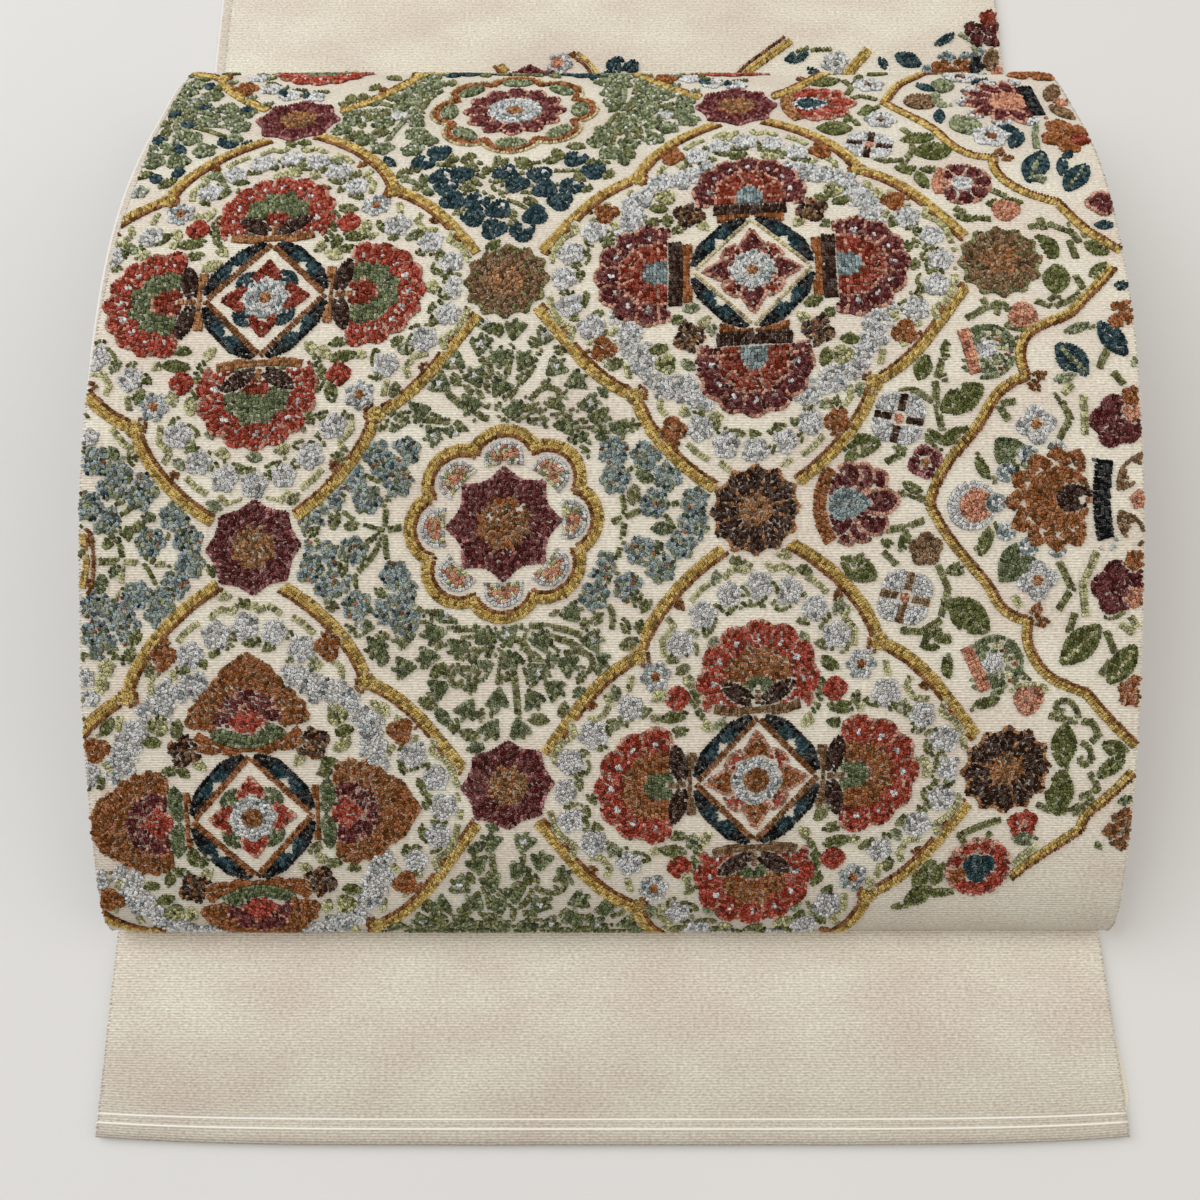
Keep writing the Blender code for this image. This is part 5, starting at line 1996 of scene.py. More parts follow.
def outwards(mesh: bpy.types.Mesh) -> None:
    """Turn a closed mesh's faces outwards, and shade it smooth."""
    bm = bmesh.new()
    bm.from_mesh(mesh)
    if bm.calc_volume(signed=True) < 0:
        bmesh.ops.reverse_faces(bm, faces=bm.faces)
    bm.to_mesh(mesh)
    bm.free()
    mesh.shade_smooth()


def piece_of(name: str, mesh: bpy.types.Mesh, material: bpy.types.Material) -> bpy.types.Object:
    """An object in the scene for a finished mesh."""
    mesh.materials.clear()
    mesh.materials.append(material)
    made = bpy.data.objects.new(name, mesh)
    bpy.context.scene.collection.objects.link(made)
    return made


@dataclass
class Stack:
    """The hidden layers of the stack behind the drum: one block, layered at its edges.

    Args:
        line: The sash's line.
        pace: How far apart the points round the block are.
        groove: How deep it is between two layers.
        stray: How far a layer's edge strays from its place.
    """

    line: SashLine
    pace: float = 0.006
    groove: float = 0.0036
    stray: float = 0.0009

    def levels(self) -> list[tuple[float, float, float, float, float, int]]:
        """Height, side inset, front, back, share of lining, and layer, from the bottom up."""
        line, found = self.line, []
        last = line.layers - 2
        for layer in range(1, last + 1):
            face_up = layer % 2 == 0
            below, above = (line.lining, line.face) if face_up else (line.face, line.lining)
            middle = line.heights[layer]
            gap = line.seam_gap / 2
            folded_front = layer - 1 if face_up else layer
            folded_back = layer if face_up else layer - 1
            spots = [(middle - gap - below * t, (1 - 2 * abs(t - 0.5)), 0) for t in (1, 0.8, 0.5, 0.2, 0)]
            spots += [(middle + gap + above * t, (1 - 2 * abs(t - 0.5)), 1) for t in (0, 0.2, 0.5, 0.8, 1)]
            for z, fullness, upper in spots:
                inset = 0.0006 * (1 - fullness) ** 2
                lining = float(face_up != bool(upper))
                front = line.stack_front - self.reach(folded_front, False, z)
                back = line.stack_back + self.reach(folded_back, True, z)
                if layer == last:
                    front = line.stack_front + line.seam_gap / 2
                if layer == 1 and z <= middle + gap + above:
                    back = line.stack_back - line.seam_gap / 2
                found.append((z, inset, front, back, lining, layer))
            if layer < last:
                z = middle + gap + above + line.layer_gap / 2
                front = line.stack_front - self.reach(folded_front, False, z)
                back = line.stack_back + self.reach(folded_back, True, z)
                if face_up:
                    front = line.stack_front + self.groove
                else:
                    back = line.stack_back - self.groove
                found.append((z, self.groove, front, back, 0.5, layer))
        return found

    def reach(self, lower: int, to_back: bool, z: float) -> float:
        """How far the fold from layer lower to the next bulges past the stack's end."""
        low, high = self.line.heights[lower], self.line.heights[lower + 1]
        radius = (high - low) / 2 + (self.line.lining_side if to_back else self.line.face_side)
        return math.sqrt(max(0.0, radius**2 - (z - (low + high) / 2) ** 2))

    def mesh(self, name: str) -> bpy.types.Mesh:
        """The block, closed above and below, with its lining shown by an attribute."""
        line = self.line
        rings, lining = [], []
        across = max(2, round(line.width / self.pace))
        along = max(2, round((line.stack_back - line.stack_front) / self.pace))
        for z, inset, front, back, share, layer in self.levels():
            half = line.width / 2 - inset
            x = np.linspace(-half, half, across + 1)
            y = np.linspace(front, back, along + 1)
            side = self.stray * (np.sin(y * 23 + layer * 1.9) + 0.6 * np.sin(y * 61 + layer * 4.3)
                                 - 1.6) / 1.6
            end = self.stray * 0.6 * (np.sin(x * 31 + layer * 2.7) - 1) * 0.5
            ring = [(a, front - b * 0.4) for a, b in zip(x[:-1], end)]
            ring += [(half + a, b) for a, b in zip(side[:-1], y[:-1])]
            ring += [(a, back + b * 0.4) for a, b in zip(x[:0:-1], end[::-1])]
            ring += [(-half - a, b) for a, b in zip(side[:0:-1], y[:0:-1])]
            rings.append([(line.middle + a, b - line.depth / 2, z) for a, b in ring])
            lining.append(share)
        rings = np.array(rings)
        count, size = rings.shape[:2]
        top = (count - 1) * size
        faces = ring_faces(count, size) + [list(range(size))[::-1], list(range(top, top + size))]
        mesh = bpy.data.meshes.new(name)
        mesh.from_pydata(rings.reshape(-1, 3).tolist(), [], faces)
        attribute = mesh.attributes.new("lining", "FLOAT", "POINT")
        attribute.data.foreach_set("value", np.repeat(np.array(lining, np.float32), size))
        mesh.shade_smooth()
        return mesh


# ---------------------------------------------------------------------------------------------
# Node trees


def feed(tree: bpy.types.NodeTree, socket: bpy.types.NodeSocket, value: Any) -> None:
    """Link a socket to another one, or give it a value."""
    if isinstance(value, bpy.types.NodeSocket):
        tree.links.new(value, socket)
    else:
        socket.default_value = value


def add_node(tree: bpy.types.NodeTree, kind: str, inputs: dict | None = None,
             **settings: Any) -> bpy.types.Node:
    """A node of a kind in a tree, with its settings, and its inputs set or linked."""
    node = tree.nodes.new(kind)
    for key, value in settings.items():
        setattr(node, key, value)
    for key, value in (inputs or {}).items():
        feed(tree, node.inputs[key], value)
    return node


# ---------------------------------------------------------------------------------------------
# Knots


@dataclass(frozen=True)
class Bead:
    """One knot: a loop of thread with a hollow in it.

    Args:
        sides: Its corners all round.
        foot: The radius where it meets the cloth.
        crest: The radius of its crest.
        height: How high the crest stands.
        hollow: How far the middle lies below the crest.
        sunk: How far its foot lies in the cloth.
        long: How much longer than that it is one way.
        narrow: How much narrower the other way.
        slant: How far it is turned out of its row.
    """

    sides: int = 4
    foot: float = 0.80 * MM
    crest: float = 0.42 * MM
    height: float = 0.86 * MM
    hollow: float = 0.34 * MM
    sunk: float = 0.16 * MM
    long: float = 1.16
    narrow: float = 0.86
    slant: float = 0.95


@dataclass
class KnotTree:
    """The Geometry Nodes tree that puts a knot on every point, and joins them in one mesh."""

    bead: Bead = field(default_factory=Bead)

    def build(self) -> bpy.types.NodeTree:
        """Make the tree, with its sizes as named inputs."""
        tree = bpy.data.node_groups.new("knots", "GeometryNodeTree")
        face = tree.interface
        face.new_socket("Geometry", in_out="INPUT", socket_type="NodeSocketGeometry")
        for name, kind, value in (
            ("Sides", "NodeSocketInt", self.bead.sides), ("Foot", "NodeSocketFloat", self.bead.foot),
            ("Crest", "NodeSocketFloat", self.bead.crest), ("Height", "NodeSocketFloat", self.bead.height),
            ("Hollow", "NodeSocketFloat", self.bead.hollow), ("Sunk", "NodeSocketFloat", self.bead.sunk),
            ("Material", "NodeSocketMaterial", None),
        ):
            socket = face.new_socket(name, in_out="INPUT", socket_type=kind)
            if value is not None:
                socket.default_value = value
        face.new_socket("Geometry", in_out="OUTPUT", socket_type="NodeSocketGeometry")
        source, sink = tree.nodes.new("NodeGroupInput"), tree.nodes.new("NodeGroupOutput")

        add = partial(add_node, tree)
        tall = add("ShaderNodeMath", {0: source.outputs["Height"], 1: source.outputs["Sunk"]},
                   operation="ADD")
        cone = add("GeometryNodeMeshCone", {
            "Vertices": source.outputs["Sides"], "Side Segments": 1, "Fill Segments": 1,
            "Radius Top": source.outputs["Crest"], "Radius Bottom": source.outputs["Foot"],
            "Depth": tall.outputs[0],
        }, fill_type="TRIANGLE_FAN")
        normal = add("ShaderNodeSeparateXYZ", {0: add("GeometryNodeInputNormal").outputs[0]})
        down = add("FunctionNodeCompare", {"A": normal.outputs["Z"], "B": -0.9}, operation="LESS_THAN")
        open_cone = add("GeometryNodeDeleteGeometry", {
            "Geometry": cone.outputs["Mesh"], "Selection": down.outputs[0]}, domain="FACE")
        place = add("GeometryNodeInputPosition").outputs[0]
        flat = add("ShaderNodeVectorMath", {0: place, 1: (1.0, 1.0, 0.0)}, operation="MULTIPLY")
        radius = add("ShaderNodeVectorMath", {0: flat.outputs[0]}, operation="LENGTH")
        middle = add("FunctionNodeCompare", {"A": radius.outputs["Value"], "B": 0.00005},
                     operation="LESS_THAN")
        sink_by = add("ShaderNodeMath", {0: source.outputs["Hollow"], 1: -1.0}, operation="MULTIPLY")
        low = add("ShaderNodeCombineXYZ", {"Z": sink_by.outputs[0]})
        dimple = add("GeometryNodeSetPosition", {
            "Geometry": open_cone.outputs[0], "Selection": middle.outputs[0], "Offset": low.outputs[0]})
        drop = add("ShaderNodeMath", {0: source.outputs["Sunk"], 1: -1.0}, operation="MULTIPLY")
        foot = add("ShaderNodeCombineXYZ", {"Z": drop.outputs[0]})
        set_in = add("GeometryNodeTransform", {"Geometry": dimple.outputs[0], "Translation": foot.outputs[0]})
        level = add("ShaderNodeSeparateXYZ", {0: place})
        rise = add("ShaderNodeMath", {0: level.outputs["Z"], 1: source.outputs["Height"]}, operation="DIVIDE",
                   use_clamp=True)
        ring = add("ShaderNodeMapRange", {"Value": radius.outputs["Value"], "From Max": 0.0002,
                                          "To Min": 0.02})
        crest = add("ShaderNodeMath", {0: rise.outputs[0], 1: ring.outputs["Result"]}, operation="MULTIPLY")
        shown = add("GeometryNodeStoreNamedAttribute", {
            "Geometry": set_in.outputs[0], "Name": "crest", "Value": crest.outputs[0]},
            data_type="FLOAT", domain="POINT")
        smooth = add("GeometryNodeSetShadeSmooth", {"Geometry": shown.outputs[0]})
        out = add("GeometryNodeInputNamedAttribute", {"Name": "out"}, data_type="FLOAT_VECTOR")
        twist = add("GeometryNodeInputNamedAttribute", {"Name": "twist"}, data_type="FLOAT")
        size = add("GeometryNodeInputNamedAttribute", {"Name": "size"}, data_type="FLOAT_VECTOR")
        upright = add("FunctionNodeAlignRotationToVector", {"Vector": out.outputs[0]}, axis="Z")
        across = add("GeometryNodeInputNamedAttribute", {"Name": "side"}, data_type="FLOAT_VECTOR")
        lean = add("FunctionNodeAlignRotationToVector", {
            "Rotation": upright.outputs[0], "Vector": across.outputs[0]}, axis="Y", pivot_axis="Z")
        spin = add("FunctionNodeAxisAngleToRotation", {"Axis": (0.0, 0.0, 1.0), "Angle": twist.outputs[0]})
        turned = add("FunctionNodeRotateRotation", {
            "Rotation": lean.outputs[0], "Rotate By": spin.outputs[0]}, rotation_space="LOCAL")
        many = add("GeometryNodeInstanceOnPoints", {
            "Points": source.outputs["Geometry"], "Instance": smooth.outputs[0],
            "Rotation": turned.outputs[0], "Scale": size.outputs[0]})
        joined = add("GeometryNodeRealizeInstances", {"Geometry": many.outputs[0]})
        dressed = add("GeometryNodeSetMaterial", {
            "Geometry": joined.outputs[0], "Material": source.outputs["Material"]})
        tree.links.new(dressed.outputs[0], sink.inputs[0])
        return tree


@dataclass
class Knots:
    """Every knot of the embroidery, as one mesh for each thread colour.

    Args:
        cloth: The cloth that they are worked on.
        pattern: The thread at each place.
        lean: How much a loop leans to a side.
        margin: How near a knot comes to the cloth's edges.
        ahead: How far along its row a knot looks for its heading.
        seed: For the lean, twist, size and tone of each.
    """

    cloth: Sheet
    pattern: Embroidery
    lean: float = 0.20
    margin: float = 0.0006
    ahead: float = 2e-4
    seed: int = 19

    def build(self) -> list[bpy.types.Object]:
        """Make them."""
        ground = self.pattern.ground
        chosen = np.flatnonzero(ground.thread >= 0)
        x, s = ground.x[chosen] * MM, ground.s[chosen] * MM
        left = np.interp(s, self.cloth.along, self.cloth.left)
        chosen = chosen[(x > left + self.margin) & (x < self.cloth.line.width / 2 - self.margin)]
        x, s, heading = ground.x[chosen] * MM, ground.s[chosen] * MM, ground.heading[chosen]
        rng, bead = np.random.default_rng(self.seed), Bead()
        spots, outs = self.cloth.place(x, s)
        ahead, _ = self.cloth.place(x + np.cos(heading) * self.ahead, s + np.sin(heading) * self.ahead)
        along = ahead - spots
        outs = outs + rng.normal(0, self.lean, outs.shape)
        outs /= np.linalg.norm(outs, axis=1)[:, None]
        side = np.cross(outs, along)
        side /= np.maximum(np.linalg.norm(side, axis=1), 1e-9)[:, None]
        twist = bead.slant + rng.normal(0, 0.22, len(chosen))
        size = ground.size[chosen] * rng.normal(1.0, 0.06, len(chosen)).clip(0.86, 1.15)
        scale = np.stack([size * bead.long, size * bead.narrow, size], axis=1)
        values = {"out": outs, "side": side, "size": scale, "twist": twist,
                  "tone": rng.normal(0.0, 1.0, len(chosen))}
        tree, made = KnotTree(bead).build(), []
        for index, thread in enumerate(THREADS):
            own = np.flatnonzero(ground.thread[chosen] == index)
            if own.size:
                chosen_values = {key: value[own] for key, value in values.items()}
                made.append(beads(f"knots_{thread.value}",
                                  KnotFinish(thread.value, FINISHES[thread]).material(), tree, spots[own],
                                  chosen_values))
        return made


@dataclass
class EdgeStitches:
    """The small stitches that hold the two cloths together along the sides of the sash.

    Args:
        cloth: The cloth that they are worked on.
        pitch: How far apart they are.
        inset: How far inside the cloth's edge they lie.
        scale: Their size against a knot.
        shown: How much of the cloth's end has them before it goes under the drum.
        seed: For their tilt and size.
    """

    cloth: Sheet
    pitch: float = 0.00125
    inset: float = 0.00035
    scale: float = 0.34
    shown: float = 0.072
    seed: int = 5

    def build(self) -> bpy.types.Object:
        """Make them."""
        rng, along = np.random.default_rng(self.seed), self.cloth.along
        start = float(along[self.cloth.drum_start])
        s = np.concatenate([
            np.arange(along[0] + 0.0012, along[0] + self.shown, self.pitch),
            np.arange(start + 0.001, along[-1] - 0.002, self.pitch),
        ])
        s = np.concatenate([s, s + self.pitch / 3]) + rng.normal(0, self.pitch * 0.10, 2 * len(s))
        right = np.arange(len(s)) < len(s) // 2
        x = np.where(right, self.cloth.right(s), np.interp(s, along, self.cloth.left))
        x = x - np.where(right, 1, -1) * self.inset
        spots, outs = self.cloth.place(x, s)
        sideways_out = np.stack([np.where(right, 1.0, -1.0), np.zeros(len(s)), np.zeros(len(s))], axis=1)
        outs = outs + sideways_out * 0.6
        outs /= np.linalg.norm(outs, axis=1)[:, None]
        size = self.scale * rng.normal(1.0, 0.12, (len(s), 1)).clip(0.7, 1.4)
        values = {"out": outs, "side": sideways_out, "size": size * np.array([0.9, 1.9, 0.8]),
                  "twist": rng.normal(0.35, 0.2, len(s)), "tone": rng.normal(0.0, 0.5, len(s))}
        # Its depth sets the painted shade at the stitches' feet, as for the knots.
        finish = ThreadFinish(srgb(240, 234, 218), 0.45)
        return beads("edge_stitches", KnotFinish("sewing", finish).material(), KnotTree(Bead()).build(),
                     spots, values)


@dataclass
class HemThreads:
    """Two thin threads laid along the end of the sash.

    Args:
        cloth: The cloth that they lie on.
        insets: How far each lies from the end.
        radius: Their radius.
        steps: How many pieces each has.
        sides: How many sides each has.
    """

    cloth: Sheet
    insets: tuple[float, ...] = (0.0046, 0.0073)
    radius: float = 0.00034
    steps: int = 90
    sides: int = 6

    def build(self) -> bpy.types.Object:
        """Make them, in one mesh."""
        angles = np.arange(self.sides) * math.tau / self.sides
        spots, faces = [], []
        for inset in self.insets:
            s = self.cloth.along[0] + inset
            x = np.linspace(self.radius - self.cloth.line.width / 2, self.cloth.right(s) - self.radius,
                            self.steps + 1)
            middle, out = self.cloth.place(x, np.full(x.shape, s))
            ahead = np.cross(out, (1.0, 0.0, 0.0))
            base = len(spots) * (self.steps + 1) * self.sides
            rings = middle[:, None] + self.radius * (
                np.cos(angles)[None, :, None] * out[:, None] + np.sin(angles)[None, :, None] * ahead[:, None])
            spots.append(rings.reshape(-1, 3))
            faces += ring_faces(self.steps + 1, self.sides, base)
            last = base + self.steps * self.sides
            faces += [list(range(base, base + self.sides))[::-1], list(range(last, last + self.sides))]
        mesh = bpy.data.meshes.new("hem_threads")
        mesh.from_pydata(np.concatenate(spots).tolist(), [], faces)
        outwards(mesh)
        nodes = Nodes("hem_silk")
        nodes.set(Base_Color=(*srgb(254, 251, 242), 1.0), Roughness=0.45)
        made = piece_of("hem_threads", mesh, nodes.material)
        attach(made, "root")
        return made


def beads(name: str, material: bpy.types.Material, tree: bpy.types.NodeTree, spots: Array,
          values: dict[str, Array]) -> bpy.types.Object:
    """One plain mesh of knots.

    Args:
        name: Its name.
        material: Its material.
        tree: The tree that makes a knot on every point.
        spots: Where they are.
        values: What else the tree reads of each.

    Returns:
        The mesh as a piece of the sash.
    """
    points = bpy.data.meshes.new(name + "_points")
    points.from_pydata(spots.tolist(), [], [])
    for key, value in values.items():
        kind, field_name = ("FLOAT_VECTOR", "vector") if value.ndim == 2 else ("FLOAT", "value")
        layer = points.attributes.new(key, kind, "POINT")
        layer.data.foreach_set(field_name, value.ravel().astype(np.float32))
    holder = bpy.data.objects.new(name + "_points", points)
    bpy.context.scene.collection.objects.link(holder)
    modifier = holder.modifiers.new("knots", "NODES")
    modifier.node_group = tree
    sockets = {item.name: item.identifier for item in tree.interface.items_tree
               if item.item_type == "SOCKET" and item.in_out == "INPUT"}
    modifier[sockets["Material"]] = material
    graph = bpy.context.evaluated_depsgraph_get()
    mesh = bpy.data.meshes.new_from_object(
        holder.evaluated_get(graph), preserve_all_data_layers=True, depsgraph=graph)
    mesh.name = name
    for key in ("out", "side", "twist", "size"):
        if key in mesh.attributes:
            mesh.attributes.remove(mesh.attributes[key])
    bpy.data.objects.remove(holder)
    bake_map(mesh, len(spots))
    made = piece_of(name, mesh, material)
    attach(made, "root")
    LOG.info("%s: %d knots, %d faces", name, len(spots), len(mesh.polygons))
    return made


def bake_map(mesh: bpy.types.Mesh, count: int) -> None:
    """Give each knot a small square of its own in a UV map for baked textures."""
    side = math.ceil(math.sqrt(count))
    corners = len(mesh.vertices) // count
    sides = (corners - 1) // 2
    co = np.zeros(len(mesh.vertices) * 3, np.float32)
    mesh.vertices.foreach_get("co", co)
    co = co.reshape(count, corners, 3)
    crest = np.zeros(len(mesh.vertices), np.float32)
    mesh.attributes["crest"].data.foreach_get("value", crest)
    level = crest.reshape(count, corners)[0]
    order = np.argsort(level, kind="stable")
    radius = np.zeros(corners)
    radius[order[:sides]] = 0.44
    radius[order[-sides:]] = 0.24
    local = co[0] - co[0].mean(axis=0)
    middle = [i for i in range(corners) if radius[i] == 0]
    axis = co[0][order[-sides:]].mean(axis=0) - co[0][order[:sides]].mean(axis=0)
    axis /= np.linalg.norm(axis)
    first = co[0][order[0]] - co[0][order[:sides]].mean(axis=0)
    first -= axis * (first @ axis)
    first /= np.linalg.norm(first)
    second = np.cross(axis, first)
    angle = np.arctan2(local @ second, local @ first)
    u = radius * np.cos(angle)
    v = radius * np.sin(angle)
    if middle:
        u[middle] = v[middle] = 0.0
    cell = np.arange(count)
    centre = np.stack([(cell % side + 0.5) / side, (cell // side + 0.5) / side], axis=1)
    uv = centre[:, None, :] + np.stack([u, v], axis=1)[None] / side
    loops = np.zeros(len(mesh.loops), np.int32)
    mesh.loops.foreach_get("vertex_index", loops)
    layer = mesh.uv_layers.new(name="OFBake")
    layer.data.foreach_set("uv", uv.reshape(-1, 2)[loops].ravel().astype(np.float32))


@dataclass(frozen=True)
class KnotFinish:
    """The silk of one thread colour.

    Args:
        name: The colour's name.
        finish: How it looks.
    """

    name: str
    finish: ThreadFinish

    def material(self) -> bpy.types.Material:
        """Painted highlight on the crest of a loop and painted shade at its foot, no two loops quite the
        same.
        """
        finish = self.finish
        nodes = Nodes(f"silk_{self.name}")
        crest = nodes.add("ShaderNodeAttribute", attribute_name="crest").outputs["Fac"]
        tone = nodes.add("ShaderNodeAttribute", attribute_name="tone").outputs["Fac"]
        spot_at = nodes.add("ShaderNodeTexCoord").outputs["Object"]
        strand = nodes.noise(spot_at, 2600.0, 2.0)
        # Painted shade: the hollow and foot of each knot take a darker copy of its colour.
        hollow = tuple(c * finish.depth for c in finish.colour)
        painted_highlight = tuple(min(0.95, 1.35 * c + finish.glint) for c in finish.colour)
        colour = nodes.mix(nodes.math("POWER", crest, 1.25), hollow, finish.colour)
        colour = nodes.dimmed(colour, nodes.math("MAXIMUM", nodes.math("MULTIPLY_ADD", tone, 0.30, 1.0), 0.3))
        colour = nodes.dimmed(colour, nodes.math("MULTIPLY_ADD", strand, 0.8, 0.62))
        # Painted highlight: some crests are mixed towards a paler, whiter colour.
        highlight_share = nodes.math("MULTIPLY_ADD", tone, 0.45, 0.25, clamp=True)
        colour = nodes.mix(nodes.math("MULTIPLY", nodes.math("POWER", crest, 2.5), highlight_share), colour, painted_highlight)
        bump = nodes.add("ShaderNodeBump", {"Height": strand, "Distance": 0.00015, "Strength": 0.8})
        nodes.set(Base_Color=colour, Roughness=finish.gloss, Normal=bump.outputs["Normal"],
                  Specular_IOR_Level=0.10)
        return nodes.material


# ---------------------------------------------------------------------------------------------
# Finishes


class Nodes:
    """A short way to build a material's nodes.

    Args:
        name: The material's name.
    """

    def __init__(self, name: str) -> None:
        self.material = bpy.data.materials.new(name)
        self.material.use_nodes = True
        self.tree = self.material.node_tree
        self.shader = self.tree.nodes["Principled BSDF"]

    def add(self, kind: str, inputs: dict | None = None, **settings) -> bpy.types.Node:
        """A node of a kind, with its settings, and its inputs set or linked."""
        return add_node(self.tree, kind, inputs, **settings)

    def mix(self, share, first, second, blend: str = "MIX") -> bpy.types.NodeSocket:
        """Two colours mixed by a share."""
        node = self.add("ShaderNodeMix", data_type="RGBA", blend_type=blend)
        for index, value in ((0, share), (6, first), (7, second)):
            feed(self.tree, node.inputs[index], (*value, 1.0) if isinstance(value, tuple) else value)
        return node.outputs[2]

    def math(self, operation: str, *values, clamp: bool = False) -> bpy.types.NodeSocket:
        """A sum of one or two values."""
        return self.add("ShaderNodeMath", dict(enumerate(values)), operation=operation,
                        use_clamp=clamp).outputs[0]

    def scaled(self, place: bpy.types.NodeSocket, scale: tuple[float, float, float]) -> bpy.types.NodeSocket:
        """A place scaled along each axis."""
        return self.add("ShaderNodeMapping", {"Vector": place, "Scale": scale}).outputs[0]

    def noise(self, place: bpy.types.NodeSocket, scale: float, detail: float,
              roughness: float = 0.5) -> bpy.types.NodeSocket:
        """A noise at a place."""
        return self.add("ShaderNodeTexNoise", {
            "Vector": place, "Scale": scale, "Detail": detail, "Roughness": roughness}).outputs["Fac"]

    def dimmed(self, colour: bpy.types.NodeSocket, light: bpy.types.NodeSocket) -> bpy.types.NodeSocket:
        """A colour multiplied by a light."""
        grey = self.add("ShaderNodeCombineColor", {"Red": light, "Green": light, "Blue": light}).outputs[0]
        return self.mix(1.0, colour, grey, "MULTIPLY")

    def set(self, **values) -> None:
        """Set or link the shader's own sockets."""
        for key, value in values.items():
            feed(self.tree, self.shader.inputs[key.replace("_", " ")], value)


@dataclass(frozen=True)
class ClothFinish:
    """A silk cloth with fine crosswise ribs.

    Args:
        name: The material's name.
        pale: Its lighter colour.
        warm: The colour of its warmer patches.
        rib: How far apart the ribs are, in metres.
        relief: How high the ribs stand, in metres.
        edge: Where the outermost threads start on the left, in metres from the middle, or None.
        edge_left: Their colour there.
        edge_right: Their colour on the right.
        end_shade: The share of its lightness that the end of the sash keeps.
        end_shade_from: Where along the cloth it is the most worn.
        end_shade_to: Where it is as fresh as the rest.
        nose: The share of its lightness that the cloth keeps at the drum's nose.
        nose_shade_reach: How far from the nose it is as light as the rest.
    """

    name: str
    pale: tuple[float, float, float]
    warm: tuple[float, float, float]
    rib: float = 0.00078
    relief: float = 0.00010
    edge: float | None = None
    edge_left: tuple[float, float, float] = (0.88, 0.86, 0.81)
    # edge_right: Their colour where the lining peeks out on the right, partly painted light against the
    # face's shade.
    edge_right: tuple[float, float, float] = (0.88, 0.82, 0.66)
    # end_shade: The share of its lightness that the painted shade towards the end of the sash leaves.         end_shade_from: Where along the cloth the painted shade is darkest.         end_shade_to: Where it has faded to nothing.         nose: The share of its lightness that the painted shade at the drum's nose leaves.         nose_shade_reach: How far from the nose the painted shade reaches.
    end_shade: float = 0.75
    end_shade_from: float = -0.532
    end_shade_to: float = -0.468
    nose: float = 0.72
    nose_shade_reach: float = 0.045

    def material(self) -> bpy.types.Material:
        """The cloth's material, which reads the cloth's own UV map, in metres."""
        nodes = Nodes(self.name)
        uv = nodes.add("ShaderNodeUVMap", uv_map="cloth").outputs["UV"]
        parts = nodes.add("ShaderNodeSeparateXYZ", {"Vector": uv})
        across, along = parts.outputs["X"], parts.outputs["Y"]
        broad = nodes.noise(nodes.scaled(uv, (1.0, 2.0, 1.0)), 26.0, 4.0, 0.55)
        weave = nodes.noise(nodes.scaled(uv, (900.0, 1500.0, 1.0)), 1.0, 2.0)
        cloud = nodes.math("MULTIPLY_ADD", broad, 3.0, -1.0, clamp=True)
        colour = nodes.mix(cloud, self.warm, self.pale)
        wander = nodes.noise(nodes.scaled(uv, (40.0, 160.0, 1.0)), 1.0, 2.0)
        turns = nodes.math("MULTIPLY_ADD", wander, 0.8, nodes.math("MULTIPLY", along, 1 / self.rib))
        wave = nodes.math("SINE", nodes.math("MULTIPLY", turns, math.tau))
        ridge = nodes.math("MULTIPLY_ADD", wave, 0.5, 0.5)
        # Painted shade along the valleys of the ribs.
        colour = nodes.dimmed(colour, nodes.math("MULTIPLY_ADD", ridge, 0.24, 0.79))
        colour = nodes.dimmed(colour, nodes.math("MULTIPLY_ADD", weave, 1.1, 0.47))
        # Painted shade: darker towards the end of the sash, and at the drum's nose.
        for place, start, end, light in ((along, self.end_shade_from, self.end_shade_to, self.end_shade),
                                         (nodes.math("ABSOLUTE", along), 0.0, self.nose_shade_reach, self.nose)):
            painted_shade = nodes.add("ShaderNodeMapRange", {
                "Value": place, "From Min": start, "From Max": end, "To Min": light, "To Max": 1.0})
            colour = nodes.dimmed(colour, painted_shade.outputs["Result"])
        if self.edge is not None:
            colour = nodes.mix(nodes.math("LESS_THAN", across, self.edge), colour, self.edge_left)
            # The lining's peek on the right: its cream colour, painted lighter to lift the shade under the
            # face's edge.
            colour = nodes.mix(nodes.math("GREATER_THAN", across, -self.edge), colour, self.edge_right)
        height = nodes.math("MULTIPLY_ADD", weave, 0.6, ridge)
        bump = nodes.add("ShaderNodeBump", {"Height": height, "Distance": self.relief, "Strength": 1.0})
        rough = nodes.math("MULTIPLY_ADD", broad, -0.16, 0.60)
        nodes.set(
            Base_Color=colour, Roughness=rough, Normal=bump.outputs["Normal"],
            Specular_IOR_Level=0.42, Sheen_Weight=0.10, Sheen_Roughness=0.4,
            Sheen_Tint=(1.0, 0.97, 0.92, 1.0),
        )
        return nodes.material


@dataclass(frozen=True)
class BlockFinish:
    """The edges of the folded layers."""

    name: str = "folded_edges"

    def material(self) -> bpy.types.Material:
        """Face and lining colours by the block's own attribute, with fine threads round it."""
        nodes = Nodes(self.name)
        lining = nodes.add("ShaderNodeAttribute", attribute_name="lining").outputs["Fac"]
        spot = nodes.add("ShaderNodeTexCoord").outputs["Object"]
        fine, broad = nodes.noise(spot, 900.0, 3.0), nodes.noise(spot, 30.0, 3.0)
        colour = nodes.mix(lining, srgb(228, 218, 198), srgb(222, 206, 186))
        colour = nodes.dimmed(colour, nodes.math("MULTIPLY_ADD", broad, 0.3, 0.82))
        bump = nodes.add("ShaderNodeBump", {"Height": fine, "Distance": 0.0002, "Strength": 1.0})
        nodes.set(Base_Color=colour, Roughness=0.6, Normal=bump.outputs["Normal"], Sheen_Weight=0.15)
        return nodes.material


